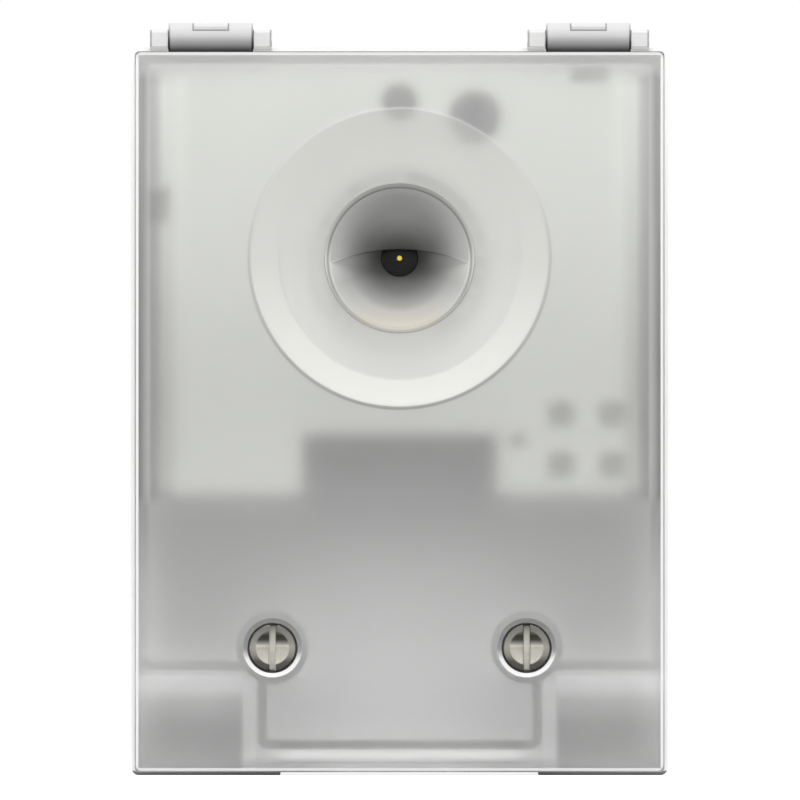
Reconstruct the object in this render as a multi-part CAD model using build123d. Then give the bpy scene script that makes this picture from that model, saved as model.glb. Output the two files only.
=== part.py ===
from build123d import *
import os
from math import radians, tan

# Twilight switch: a wall box with a frosted cover that swings up on two pin hinges.
# X is to the right, Z is up, the wall is the plane y = 0 and the front faces -Y.
# A depth is a distance in front of the wall, so a point at depth d has y = -d.

os.makedirs("parts", exist_ok=True)

# Rear housing
housing_width = 75.0
housing_height = 101.6
housing_corner = 1.1
back_wall = 2.4
rim_depth = 23.7
rim_wall = 2.9
lip_wall = 0.5
lip_height = 1.3
foot_recess_width = 36.1
foot_recess_x = 1.35
foot_recess = 0.4
relief_depth = 0.8
relief_margin = 5.0
relief_web = 6.0
relief_bottom = -6.0

# Wall fixing: two slots in the bottom pockets and a blind keyhole at the top
wall_slot_inset = 9.5
wall_slot_rise = 8.5
wall_slot_width = 4.5
wall_slot_length = 7.0
keyhole_drop = 16.8
keyhole_rise = 6.0
keyhole_head_radius = 4.3
keyhole_neck_radius = 2.3
keyhole_depth = 2.8
keyhole_wall = 1.6

# Seal line: a loop that leaves the two bottom corner pockets outside
gasket_width = 1.0
gasket_side_gap = 0.15
gasket_rise = 0.3
groove_depth = 1.0
seal_corner = 1.4
shoulder_rise = 15.4
tongue_margin = 1.85
tongue_rise = 4.4
rib_wall = 1.3

# Front cover
cover_gap = 0.25
cover_depth = 39.0
cover_front_wall = 2.0
cover_skirt_wall = 1.6
cover_corner = 0.8
cover_edge = 0.4

# Dish and sensor funnel in the cover
sensor_drop = 29.4
dish_radius = 21.0
dish_step = 0.35
dish_slope = 7.0
dish_wall = 2.0
dish_land = 4.0
funnel_radius = 10.4
funnel_gap = 0.15
funnel_rim_wall = 0.8
funnel_wall = 1.5
flange_width = 1.8
flange_thickness = 1.5
throat_radius = 2.6
throat_sink = 10.6
visor_drop = 1.26
visor_sink = 7.6
visor_bow = 24.0
lens_radius = 3.15
lens_thickness = 1.2
lens_gap = 0.05

# Hinges
hinge_inset = 11.15
hinge_depth = 26.7
hinge_rise = 1.85
ear_width = 2.5
ear_radius = 1.4
ear_ramp = 7.0
barrel_width = 11.8
barrel_radius = 2.3
barrel_side_gap = 0.1
barrel_clearance = 0.3
hinge_web = 3.2
hinge_tab_width = 4.9
hinge_tab_height = 1.05
pin_radius = 0.75
pin_press_gap = 0.01
pin_running_gap = 0.05
pin_end_wall = 0.4

# Cover screws, one at each side
screw_inset = 1.4
screw_rise = 17.9
tower_radius = 3.6
tower_sink = 10.3
tower_base_wall = 2.2
boss_gap = 0.3
boss_wall = 1.1
head_radius = 3.25
head_height = 2.6
head_sink = 0.3
head_slot_width = 0.95
head_slot_depth = 1.1
well_gap = 0.3
well_floor = 1.5
well_chamfer = 0.5
screw_seal_thickness = 0.8
neck_radius = 1.45
thread_radius = 1.95
thread_gap = 0.15
thread_length = 4.0
screw_hole_gap = 0.2
insert_wall = 0.5
insert_length = 5.0
insert_press_gap = 0.02
clip_half_width = 2.8
clip_thickness = 0.7
clip_gap = 0.2
clip_fit = 0.05
clip_slot_width = 0.8

# Circuit board
board_side_gap = 1.0
board_top_gap = 0.5
board_rise = 38.3
board_rear = 12.0
board_thickness = 1.6
board_post = 4.0
board_post_inset = 4.6

# Electronics module cover
module_side_gap = 1.1
module_top_gap = 0.6
module_lift = 0.8
module_sink = 6.0
module_edge = 0.5
module_notch_gap = 0.3
module_wall = 1.5
module_corner = 1.2
module_funnel_gap = 1.2
dial_hole_gap = 0.4
latch_width = 4.4
latch_side_gap = 0.3
latch_thickness = 1.0
latch_nose = 1.0
latch_nose_height = 1.6
latch_wall_gap = 0.1
latch_left_drop = 18.4
latch_top_inset = 7.3
latch_depth = 22.8
latch_window_gap = 0.2
release_notch = 2.4
release_reach = 1.6

# Parts on the board
terminal_poles = 5
terminal_pitch = 5.08
terminal_height = 14.0
terminal_rise = 9.1
terminal_end_wall = 0.5
terminal_bay = 3.9
terminal_shelf = 8.7
terminal_slope = 2.0
terminal_foot = 0.3
loop_well_depth = 5.0
wire_entry = 3.7
cage_wall = 0.5
cage_gap = 0.05
cage_drop = 2.0
loop_pitch_x = 7.3
loop_pitch_z = 7.0
loop_inset = 7.55
loop_rise = 8.5
loop_margin = 2.1
loop_height = 13.0
loop_hole_width = 3.7
loop_bay = 3.3
test_hole_width = 1.7
test_hole_side = 9.55
sensor_body_radius = 2.45
sensor_body_height = 4.9
sensor_lens_gap = 0.6
sensor_leg_pitch = 2.54
holder_wall = 0.9
holder_grip = 1.0
led_drop = 4.3
led_radius = 1.5
led_height = 5.0
led_hole_radius = 2.45
dial_x = 10.5
dial_drop = 6.4
dial_radius = 3.1
dial_height = 3.2
dial_proud = 0.5
dial_shaft_radius = 1.5
dial_shaft_gap = 0.05
dial_slot_width = 0.8
dial_slot_depth = 1.0
dial_rim = 0.8
trimmer_width = 9.5
trimmer_height = 8.0
trimmer_floor = 1.2
trimmer_end_gap = 0.1

# Small parts on the board
leg_size = 0.6
case_bevel = 0.6
relay_width = 12.7
relay_inset = 8.4
relay_drop = 11.9
relay_rise = 19.0
relay_headroom = 2.2
film_width = 8.5
film_inset = 6.4
film_drop = 10.9
film_rise = 31.0
film_headroom = 3.9
can_radius = 5.0
can_side = 13.7
can_drop = 10.4
can_headroom = 2.9
varistor_width = 10.0
varistor_thickness = 4.0
varistor_lift = 2.0
varistor_inset = 9.6
varistor_rise = 23.5
fuse_width = 8.4
fuse_height = 4.0
fuse_tall = 8.0
fuse_inset = 9.6
fuse_rise = 13.0
chip_width = 9.4
chip_height = 6.4
chip_thickness = 3.4
chip_lift = 0.6
chip_legs = 4
chip_x = 10.0
chip_rise = 24.5
resistor_count = 2
resistor_x = -12.5
resistor_rise = 17.0
resistor_pitch = 6.0
resistor_width = 4.6
resistor_height = 10.0
resistor_lift = 1.4

# Cable grommets in the bottom wall
grommet_spacing = 16.4
grommet_depth = 12.5
grommet_hole_radius = 6.0
grommet_flange = 1.7
grommet_flange_thickness = 1.5
grommet_flange_sides = 12
grommet_rise = 1.0
grommet_wall = 2.9

# Places that follow from the sizes above
sides = (-1, 1)
lip_depth = rim_depth + lip_height
seal_depth = rim_depth + gasket_rise
half_width = housing_width / 2
base_z = -housing_height / 2
cover_width = housing_width - 2 * (lip_wall + cover_gap)
cover_height = housing_height - 2 * (lip_wall + cover_gap)
cover_inner_depth = cover_depth - cover_front_wall
seal_half_width = cover_width / 2 - cover_skirt_wall / 2
seal_top = cover_height / 2 - cover_skirt_wall / 2
seal_to_outside = half_width - seal_half_width
contour_half_wall = rim_wall - seal_to_outside
shoulder_z = base_z + shoulder_rise
tongue_z = base_z + tongue_rise
tongue_half_width = foot_recess_x + grommet_spacing / 2 + grommet_hole_radius + grommet_flange + tongue_margin
wall_slot_x = half_width - wall_slot_inset
wall_slot_z = base_z + wall_slot_rise
keyhole_z = -base_z - keyhole_drop
hinge_x = half_width - hinge_inset
hinge_z = cover_height / 2 + hinge_rise
sensor_z = -base_z - sensor_drop

screw_x = tongue_half_width - screw_inset
screw_z = base_z + screw_rise
tower_depth = cover_depth - tower_sink
boss_inner_radius = tower_radius + boss_gap
boss_outer_radius = boss_inner_radius + boss_wall
tower_base_radius = tower_radius + tower_base_wall
thread_hole_radius = thread_radius + thread_gap
insert_half_width = thread_hole_radius + insert_wall
head_front = cover_depth - head_sink
head_rear = head_front - head_height
well_radius = head_radius + well_gap
well_floor_front = head_rear - screw_seal_thickness
well_floor_rear = well_floor_front - well_floor
thread_tip = tower_depth - thread_length
clip_rear = tower_depth + clip_gap

throat_depth = cover_depth - throat_sink
visor_depth = cover_depth - visor_sink
funnel_hole_radius = funnel_radius + funnel_gap
dish_fall = tan(radians(dish_slope))
funnel_front = cover_depth - dish_step - (dish_radius - funnel_hole_radius) * dish_fall
dish_pad_rear = funnel_front - dish_wall
flange_rear = dish_pad_rear - flange_thickness
flange_radius = funnel_radius + flange_width
funnel_mouth_radius = funnel_radius - funnel_rim_wall
funnel_slope = (funnel_mouth_radius - throat_radius) / (funnel_front - throat_depth)
funnel_back_radius = funnel_mouth_radius - (funnel_front - flange_rear) * funnel_slope + funnel_wall
funnel_tail_radius = throat_radius + funnel_wall
lens_rear = throat_depth - lens_thickness

board_half_width = seal_half_width - contour_half_wall - board_side_gap
board_top = seal_top - contour_half_wall - board_top_gap
board_bottom = base_z + board_rise
board_front = board_rear + board_thickness
board_post_places = [(side * (board_half_width - board_post_inset), z) for side in sides
                     for z in (board_bottom + board_post, board_top - board_post)]
module_half_width = seal_half_width - contour_half_wall - module_side_gap
module_top = seal_top - contour_half_wall - module_top_gap
module_bottom = board_bottom + module_lift
module_depth = cover_depth - module_sink
module_inner_depth = module_depth - module_wall
latch_left_z = board_top - latch_left_drop
latch_top_x = board_half_width - latch_top_inset
terminal_width = terminal_poles * terminal_pitch
terminal_top = board_bottom + terminal_rise
loop_x = board_half_width - loop_inset
loop_z = board_bottom + loop_rise
test_hole_x = loop_x - test_hole_side
led_z = board_top - led_drop
dial_z = board_top - dial_drop
relay_x = relay_inset - board_half_width
can_x = relay_x + can_side
can_z = board_top - can_drop
film_x = board_half_width - film_inset
varistor_x = board_half_width - varistor_inset
varistor_z = board_bottom + varistor_rise
fuse_x = fuse_inset - board_half_width
fuse_z = board_bottom + fuse_rise
chip_z = board_bottom + chip_rise
resistor_z = board_bottom + resistor_rise


def at_depth(depth):
    """Plane facing the front, with x to the right and y up."""
    return Plane.XZ.offset(depth)


def pillar(outline, depth_back, depth_front, x=0, z=0):
    """Extrude a flat outline from one depth to another."""
    return extrude(at_depth(depth_back) * (Pos(x, z) * outline), amount=depth_front - depth_back,
                   dir=(0, -1, 0))


def block(width, height, depth_back, depth_front, x=0, z=0, corner=0):
    outline = RectangleRounded(width, height, corner) if corner else Rectangle(width, height)
    return pillar(outline, depth_back, depth_front, x, z)


def block_between(x_range, z_range, depth_back, depth_front, corner=0):
    width = x_range[1] - x_range[0]
    height = z_range[1] - z_range[0]
    return block(width, height, depth_back, depth_front, sum(x_range) / 2, sum(z_range) / 2, corner)


def rod(radius, depth_back, depth_front, x=0, z=0):
    return pillar(Circle(radius), depth_back, depth_front, x, z)


def tube(outer_radius, inner_radius, depth_back, depth_front, x=0, z=0):
    return pillar(Circle(outer_radius) - Circle(inner_radius), depth_back, depth_front, x, z)


def turned(points, x=0, z=0):
    """Revolve an outline of (radius, depth) points about a front-facing axis."""
    section = Plane(origin=(x, 0, z), x_dir=(1, 0, 0), z_dir=(0, 0, -1))
    return revolve(section * Polygon(*points, align=None), axis=Axis((x, 0, z), (0, -1, 0)))


def cross_rod(radius, x_from, x_to, depth, z):
    """Round bar along X."""
    return extrude(Plane.YZ.offset(x_from) * (Pos(-depth, z) * Circle(radius)), amount=x_to - x_from)


def cross_bar(points, x_from, x_to):
    """Extrude an outline of (depth, z) points along X."""
    outline = Polygon(*[(-depth, z) for depth, z in points], align=None)
    return extrude(Plane.YZ.offset(x_from) * outline, amount=x_to - x_from, dir=(1, 0, 0))


def hexagon(half_width):
    return RegularPolygon(half_width, 6, major_radius=False)


def joined(pieces):
    return Part() + list(pieces)


def write(name, shape):
    shape.label = name
    export_step(shape, "parts/" + name + ".step")


def seal_region(grow, corner=0):
    """Area inside the seal line, grown or shrunk: the main field and the tongue below it."""
    field = Rectangle(2 * (seal_half_width + grow), seal_top - shoulder_z + 2 * grow)
    tongue = Rectangle(2 * (tongue_half_width + grow), -tongue_z + grow)
    region = Pos(0, (seal_top + shoulder_z) / 2) * field + Pos(0, (tongue_z - grow) / 2) * tongue
    return fillet(region.vertices(), corner) if corner else region


def seal_band(half_width, corner=0):
    return seal_region(half_width, corner) - seal_region(-half_width)


def screw_places():
    return [(side * screw_x, screw_z) for side in sides]


def hinge_spans(side):
    """X ranges of the barrel and of its two ears."""
    middle = side * hinge_x
    barrel = (middle - barrel_width / 2, middle + barrel_width / 2)
    near = barrel_width / 2 + barrel_side_gap
    ears = [(middle - near - ear_width, middle - near), (middle + near, middle + near + ear_width)]
    return barrel, ears


# Rear housing

def housing_shell():
    half_height = housing_height / 2
    shell = block(housing_width, housing_height, 0, lip_depth, corner=housing_corner)
    shell -= block(cover_width + 2 * cover_gap, cover_height + 2 * cover_gap, rim_depth, lip_depth,
                   corner=housing_corner - lip_wall)
    shell -= pillar(seal_region(-contour_half_wall), back_wall, lip_depth)
    pocket_x = (tongue_half_width + contour_half_wall, housing_width / 2 - rim_wall)
    pocket_z = (rim_wall - half_height, shoulder_z - contour_half_wall)
    for side in sides:
        x_range = sorted(side * x for x in pocket_x)
        shell -= block_between(x_range, pocket_z, back_wall, lip_depth)
    return shell


def housing_towers():
    """Screw towers on their bases and the square posts under the circuit board."""
    pieces = []
    for x, z in screw_places():
        pieces.append(rod(tower_base_radius, 0, rim_depth, x, z))
        pieces.append(rod(tower_radius, 0, tower_depth, x, z))
    for x, z in board_post_places:
        pieces.append(block(board_post, board_post, 0, board_rear, x, z))
    return pieces


def housing_gasket_groove():
    half = gasket_width / 2 + gasket_side_gap
    groove = seal_band(half)
    rings = []
    for x, z in screw_places():
        middle = (boss_inner_radius + boss_outer_radius) / 2
        groove -= Pos(x, z) * Circle(middle)
        rings.append(Pos(x, z) * (Circle(middle + half) - Circle(tower_radius)))
    for ring in rings:
        groove += ring
    return pillar(groove, rim_depth - groove_depth, rim_depth)


def housing_ears():
    """Hinge ears with a ramp down to the top wall of the housing."""
    pieces = []
    wall_top = housing_height / 2
    ramp = [(hinge_depth, hinge_z + ear_radius), (hinge_depth, hinge_z - ear_radius),
            (rim_depth - ear_ramp, wall_top - lip_wall), (rim_depth - ear_ramp, wall_top)]
    for side in sides:
        for x_from, x_to in hinge_spans(side)[1]:
            eye = cross_rod(ear_radius, x_from, x_to, hinge_depth, hinge_z)
            pieces.append(eye + cross_bar(ramp, x_from, x_to))
    return pieces


def housing_latches():
    """Two spring fingers, left and top, whose noses snap into windows of the module cover."""
    inner_x = module_half_width + latch_wall_gap
    inner_z = module_top + latch_wall_gap
    nose_rear = latch_depth - latch_nose_height
    half = latch_width / 2
    left = block_between((-inner_x - latch_thickness, -inner_x), (latch_left_z - half, latch_left_z + half),
                         0, latch_depth)
    left += block_between((-inner_x, -inner_x + latch_nose), (latch_left_z - half, latch_left_z + half),
                          nose_rear, latch_depth)
    top = block_between((latch_top_x - half, latch_top_x + half), (inner_z, inner_z + latch_thickness),
                        0, latch_depth)
    top += block_between((latch_top_x - half, latch_top_x + half), (inner_z - latch_nose, inner_z),
                         nose_rear, latch_depth)
    return [left, top]


def keyhole_outline(grow):
    neck = Rectangle(2 * (keyhole_neck_radius + grow), keyhole_rise)
    outline = Pos(0, keyhole_z) * Circle(keyhole_head_radius + grow)
    outline += Pos(0, keyhole_z + keyhole_rise / 2) * neck
    outline += Pos(0, keyhole_z + keyhole_rise) * Circle(keyhole_neck_radius + grow)
    return outline


def keyhole_pocket():
    """Opening in the back wall and the wider blind space where the screw head slides."""
    head_space = SlotCenterToCenter(keyhole_rise, 2 * keyhole_head_radius, rotation=90)
    pocket = pillar(head_space, back_wall, back_wall + keyhole_depth, z=keyhole_z + keyhole_rise / 2)
    return pocket + pillar(keyhole_outline(0), 0, back_wall)


def keyhole_boss():
    width = 2 * (keyhole_head_radius + keyhole_wall)
    return block(width, width + keyhole_rise, 0, back_wall + keyhole_depth + keyhole_wall,
                 z=keyhole_z + keyhole_rise / 2)


def bottom_recess():
    """Shallow step under the housing and the deeper pocket that holds the grommet flanges."""
    floor_z = -housing_height / 2
    flange_radius_outer = grommet_hole_radius + grommet_flange
    x_range = (foot_recess_x - foot_recess_width / 2, foot_recess_x + foot_recess_width / 2)
    step = block_between(x_range, (floor_z, floor_z + foot_recess), 0, lip_depth)
    pocket_x = (foot_recess_x - grommet_spacing / 2 - flange_radius_outer - lip_wall,
                foot_recess_x + grommet_spacing / 2 + flange_radius_outer + lip_wall)
    pocket_z = (floor_z, tongue_z + contour_half_wall - grommet_wall)
    reach = flange_radius_outer + lip_wall
    pocket = block_between(pocket_x, pocket_z, grommet_depth - reach, grommet_depth + reach)
    return step + pocket


def grommet_x(side):
    return foot_recess_x + side * grommet_spacing / 2


def vertical_rod(radius, z_from, z_to, x, depth):
    return extrude(Plane.XY.offset(z_from) * (Pos(x, -depth) * Circle(radius)), amount=z_to - z_from)


def back_reliefs():
    """Shallow fields that leave a rim and a cross of flat land on the wall side."""
    width = (housing_width - 2 * relief_margin - relief_web) / 2
    z_range = (relief_bottom, keyhole_z - keyhole_head_radius - relief_margin)
    height = z_range[1] - z_range[0]
    return [block(width, height, 0, relief_depth, side * (relief_web + width) / 2, sum(z_range) / 2)
            for side in sides]


def make_rear_housing():
    housing = housing_shell()
    housing += joined(housing_towers() + housing_latches() + [keyhole_boss()])
    housing += joined(housing_ears())
    housing -= housing_gasket_groove()
    housing -= keyhole_pocket()
    housing -= bottom_recess()
    wall_top = tongue_z + contour_half_wall
    for side in sides:
        barrel, ears = hinge_spans(side)
        notch = (barrel[0] - barrel_side_gap, barrel[1] + barrel_side_gap)
        housing -= cross_rod(barrel_radius + barrel_clearance, notch[0], notch[1], hinge_depth, hinge_z)
        housing -= cross_rod(pin_radius + pin_press_gap, ears[0][0] + pin_end_wall,
                             ears[1][1] - pin_end_wall, hinge_depth, hinge_z)
        slot = SlotOverall(wall_slot_length, wall_slot_width)
        housing -= pillar(slot, 0, back_wall, side * wall_slot_x, wall_slot_z)
        housing -= vertical_rod(grommet_hole_radius, -housing_height / 2, wall_top, grommet_x(side),
                                grommet_depth)
    for x, z in screw_places():
        housing -= pillar(hexagon(insert_half_width + insert_press_gap), tower_depth - insert_length,
                          tower_depth, x, z)
    housing -= joined(back_reliefs())
    return housing


def make_hinge_pin(side):
    ears = hinge_spans(side)[1]
    return cross_rod(pin_radius, ears[0][0] + pin_end_wall, ears[1][1] - pin_end_wall, hinge_depth, hinge_z)


def make_housing_gasket():
    loop = seal_band(gasket_width / 2)
    middle = (boss_inner_radius + boss_outer_radius) / 2
    for x, z in screw_places():
        loop -= Pos(x, z) * Circle(middle)
    for x, z in screw_places():
        loop += Pos(x, z) * (Circle(middle + gasket_width / 2) - Circle(middle - gasket_width / 2))
    return pillar(loop, rim_depth - groove_depth, seal_depth)


def make_threaded_inserts():
    """Six-sided brass inserts moulded into the towers."""
    outline = hexagon(insert_half_width) - Circle(thread_hole_radius)
    return joined(pillar(outline, tower_depth - insert_length, tower_depth, x, z) for x, z in screw_places())


def make_cable_grommet(side):
    """Rubber grommet: many-sided flange below the wall and a plug that fills the hole."""
    inside = tongue_z + contour_half_wall
    outside = inside - grommet_wall
    plug = vertical_rod(grommet_hole_radius, outside, inside + grommet_rise, grommet_x(side), grommet_depth)
    outline = RegularPolygon(grommet_hole_radius + grommet_flange, grommet_flange_sides)
    rim = Plane.XY.offset(outside - grommet_flange_thickness) * Pos(grommet_x(side), -grommet_depth) * outline
    return plug + extrude(rim, amount=grommet_flange_thickness)


# Circuit board and what it carries

def make_circuit_board():
    return block_between((-board_half_width, board_half_width), (board_bottom, board_top),
                         board_rear, board_front)


def bevelled_case(x_range, z_range, tall):
    """Moulded box on the board with its front edges bevelled."""
    case = block_between(x_range, z_range, board_front, board_front + tall)
    return chamfer(case.faces().sort_by(Axis.Y)[0].edges(), case_bevel)


def span(middle, width):
    return (middle - width / 2, middle + width / 2)


def headroom(gap):
    """Height on the board that leaves a gap under the module cover."""
    return module_inner_depth - board_front - gap


def make_relay():
    return bevelled_case(span(relay_x, relay_width), (board_bottom + relay_rise, board_top - relay_drop),
                         headroom(relay_headroom))


def make_mains_capacitor():
    return bevelled_case(span(film_x, film_width), (board_bottom + film_rise, board_top - film_drop),
                         headroom(film_headroom))


def make_smoothing_capacitor():
    return rod(can_radius, board_front, board_front + headroom(can_headroom), can_x, can_z)


def make_varistor():
    """Flat box that stands on two legs."""
    foot = board_front + varistor_lift
    body = block(varistor_thickness, varistor_width, foot, foot + varistor_width, varistor_x, varistor_z)
    for side in sides:
        leg_z = varistor_z + side * varistor_width / 4
        body += block(leg_size, leg_size, board_front, foot, varistor_x, leg_z)
    return body


def make_fuse():
    return bevelled_case(span(fuse_x, fuse_width), span(fuse_z, fuse_height), fuse_tall)


def make_control_chip():
    """Small dual in-line package with four legs on each side."""
    body = block(chip_width, chip_height, board_front + chip_lift, board_front + chip_lift + chip_thickness,
                 chip_x, chip_z)
    for step in range(chip_legs):
        x = chip_x + (step - (chip_legs - 1) / 2) * sensor_leg_pitch
        for side in sides:
            body += block(leg_size, leg_size, board_front, board_front + chip_thickness, x,
                          chip_z + side * (chip_height + leg_size) / 2)
    return body


def make_resistors():
    """Box-shaped power resistors standing side by side on flat legs."""
    pieces = []
    for step in range(resistor_count):
        x = resistor_x + step * resistor_pitch
        body = block(resistor_width, resistor_height, board_front + resistor_lift,
                     board_front + resistor_lift + resistor_width, x, resistor_z)
        for end in sides:
            body += block(leg_size, leg_size, board_front, board_front + resistor_lift, x,
                          resistor_z + end * resistor_height / 3)
        pieces.append(body)
    return joined(pieces)


def terminal_x(pole):
    return (pole - (terminal_poles - 1) / 2) * terminal_pitch


def terminal_entry_depth():
    return board_front + terminal_shelf / 2 + terminal_foot


def make_terminal_block():
    """Screw terminal: stepped body, square screw bays at the front, wire entries below."""
    front = board_front + terminal_height
    shelf = board_front + terminal_shelf
    low = board_bottom + terminal_foot
    outline = [(board_front, low), (shelf, low), (front, low + terminal_slope),
               (front, terminal_top - terminal_slope / 2), (front - terminal_slope, terminal_top),
               (board_front, terminal_top)]
    half = terminal_width / 2 + terminal_end_wall
    body = cross_bar(outline, -half, half)
    middle_z = terminal_screw_z()
    entry_rear = terminal_entry_depth() - wire_entry / 2
    for pole in range(terminal_poles):
        x = terminal_x(pole)
        body -= block(terminal_bay, terminal_bay, terminal_well_rear(), front, x, middle_z)
        body -= block_between((x - wire_entry / 2, x + wire_entry / 2),
                              (board_bottom, middle_z + wire_entry / 2),
                              entry_rear, entry_rear + wire_entry)
    return body


def terminal_screw_z():
    return (board_bottom + terminal_foot + terminal_top + terminal_slope / 2) / 2


def terminal_well_rear():
    return board_front + terminal_shelf - terminal_slope / 2


def make_terminal_cages():
    """Rising cage in each wire entry."""
    cages = []
    outer = wire_entry - 2 * cage_gap
    inner = outer - 2 * cage_wall
    z_range = (terminal_screw_z() - cage_drop, terminal_screw_z() + wire_entry / 2)
    middle = terminal_entry_depth()
    for pole in range(terminal_poles):
        x = terminal_x(pole)
        cage = block_between((x - outer / 2, x + outer / 2), z_range, middle - wire_entry / 2,
                             middle + outer / 2)
        cage -= block_between((x - inner / 2, x + inner / 2), z_range, middle - inner / 2, middle + inner / 2)
        cages.append(cage)
    return joined(cages)


def loop_places():
    return [(loop_x + side * loop_pitch_x / 2, loop_z + rise * loop_pitch_z / 2)
            for side in sides for rise in sides]


def make_loop_terminal():
    """Two-by-two terminal under the four access holes of the module cover."""
    width = loop_pitch_x + 2 * loop_margin
    height = loop_pitch_z + 2 * loop_margin
    front = board_front + loop_height
    body = bevelled_case(span(loop_x, width), span(loop_z, height), loop_height)
    for x, z in loop_places():
        body -= block(loop_bay, loop_bay, front - loop_well_depth, front, x, z)
    return body


def sensor_seat_depth():
    return lens_rear - sensor_lens_gap - sensor_body_height


def make_light_sensor():
    """Photo sensor with two legs."""
    seat = sensor_seat_depth()
    sensor = rod(sensor_body_radius, seat, seat + sensor_body_height, 0, sensor_z)
    for side in sides:
        sensor += block(leg_size, leg_size, board_front, seat, side * sensor_leg_pitch / 2, sensor_z)
    return sensor


def make_sensor_holder():
    """Square sleeve that holds the foot of the sensor in front of the board."""
    outer = 2 * (sensor_body_radius + holder_wall)
    seat = sensor_seat_depth()
    sleeve = block(outer, outer, board_front, seat + holder_grip, 0, sensor_z)
    sleeve -= rod(sensor_body_radius, seat, seat + holder_grip, 0, sensor_z)
    inner = outer - 3 * holder_wall
    return sleeve - block(inner, inner, board_front, seat, 0, sensor_z)


def make_status_led():
    seat = module_depth - led_height
    led = rod(led_radius, seat, module_depth, 0, led_z)
    for side in sides:
        led += block(leg_size, leg_size, board_front, seat, side * sensor_leg_pitch / 2 - side * leg_size / 2,
                     led_z)
    return led


def make_trimmer_body():
    """Potentiometer body with the bore that carries the dial shaft."""
    body = bevelled_case(span(dial_x, trimmer_width), span(dial_z, trimmer_width), trimmer_height)
    return body - rod(dial_shaft_radius + dial_shaft_gap, board_front + trimmer_floor,
                      board_front + trimmer_height, dial_x, dial_z)


def make_threshold_dial():
    """Adjusting knob with a straight slot and an arrow, on its shaft."""
    front = module_depth + dial_proud
    rear = front - dial_height
    shaft = rod(dial_shaft_radius, board_front + trimmer_floor + trimmer_end_gap, rear, dial_x, dial_z)
    head = rod(dial_radius, rear, front, dial_x, dial_z)
    slot_length = 2 * (dial_radius - dial_rim)
    head -= block(dial_slot_width, slot_length, front - dial_slot_depth, front, dial_x, dial_z)
    tip = dial_radius - dial_rim / 2
    arrow = make_face(Polyline((-dial_rim, tip - dial_rim), (dial_rim, tip - dial_rim), (0, tip), close=True))
    head -= pillar(arrow, front - dial_slot_depth / 2, front, dial_x, dial_z)
    return shaft + head


# Module cover

def make_module_cover():
    x_range = (-module_half_width, module_half_width)
    z_range = (module_bottom, module_top)
    case = block_between(x_range, z_range, board_front, module_depth, module_corner)
    case = chamfer(case.faces().sort_by(Axis.Y)[0].edges(), module_edge)
    inner_x = (x_range[0] + module_wall, x_range[1] - module_wall)
    inner_z = (z_range[0] + module_wall, z_range[1] - module_wall)
    case -= block_between(inner_x, inner_z, board_front, module_inner_depth)
    case -= rod(funnel_back_radius + module_funnel_gap, module_inner_depth, module_depth, 0, sensor_z)
    case -= rod(led_hole_radius, module_inner_depth, module_depth, 0, led_z)
    case -= rod(dial_radius + dial_hole_gap, module_inner_depth, module_depth, dial_x, dial_z)
    case -= block(test_hole_width, test_hole_width, module_inner_depth, module_depth,
                  test_hole_x, loop_z)
    for x, z in loop_places():
        case -= block(loop_hole_width, loop_hole_width, module_inner_depth, module_depth, x, z)
    notch_half = terminal_width / 2 + terminal_end_wall + module_notch_gap
    case -= block_between((-notch_half, notch_half), (module_bottom, terminal_top + module_notch_gap),
                          board_front, module_depth)
    half = latch_width / 2 + latch_side_gap
    release = module_depth - release_notch
    window_rear = latch_depth - latch_nose_height - latch_window_gap
    left_z = (latch_left_z - half, latch_left_z + half)
    top_x = (latch_top_x - half, latch_top_x + half)
    case -= block_between((x_range[0], x_range[0] + release_reach), left_z, release, module_depth)
    case -= block_between((x_range[0], inner_x[0]), left_z, window_rear, latch_depth + latch_window_gap)
    case -= block_between(top_x, (z_range[1] - release_reach, z_range[1]), release, module_depth)
    case -= block_between(top_x, (inner_z[1], z_range[1]), window_rear, latch_depth + latch_window_gap)
    return case


# Front cover

def cover_boss(x, z):
    """Screw boss that reaches back to the gasket ring."""
    return rod(boss_outer_radius, seal_depth, cover_inner_depth, x, z)


def cover_well(x, z):
    """Counterbore for the screw head, its floor hole and the space round the tower."""
    return turned([(0, seal_depth), (boss_inner_radius, seal_depth), (boss_inner_radius, well_floor_rear),
                   (thread_radius + screw_hole_gap, well_floor_rear),
                   (thread_radius + screw_hole_gap, well_floor_front), (well_radius, well_floor_front),
                   (well_radius, cover_depth - well_chamfer), (well_radius + well_chamfer, cover_depth),
                   (0, cover_depth)], x, z)


def dish_recess():
    fall = dish_radius * dish_fall
    return turned([(0, cover_depth), (dish_radius, cover_depth), (dish_radius, cover_depth - dish_step),
                   (0, cover_depth - dish_step - fall)], 0, sensor_z)


def dish_pad():
    """Thicker wall behind the dish, flat at the back where the funnel's flange is bonded on."""
    return rod(dish_radius - dish_land, dish_pad_rear, cover_inner_depth, 0, sensor_z)


def cover_hinge(side):
    """Barrel with a web down to the top wall and a flat tab at its upper front."""
    span = hinge_spans(side)[0]
    barrel = cross_rod(barrel_radius, span[0], span[1], hinge_depth, hinge_z)
    top = cover_height / 2
    web = [(hinge_depth - hinge_web / 2, hinge_z), (hinge_depth - hinge_web / 2, top - lip_wall),
           (hinge_depth + barrel_radius, top - lip_wall), (hinge_depth + barrel_radius, hinge_z)]
    barrel += cross_bar(web, span[0], span[1])
    tab_top = hinge_z + barrel_radius
    tab_front = hinge_depth + barrel_radius * 0.85
    tab = [(hinge_depth, tab_top), (tab_front - 0.5, tab_top), (tab_front, tab_top - 0.5),
           (tab_front, tab_top - hinge_tab_height), (hinge_depth, tab_top - hinge_tab_height)]
    middle = side * hinge_x
    return barrel + cross_bar(tab, middle - hinge_tab_width / 2, middle + hinge_tab_width / 2)


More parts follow.
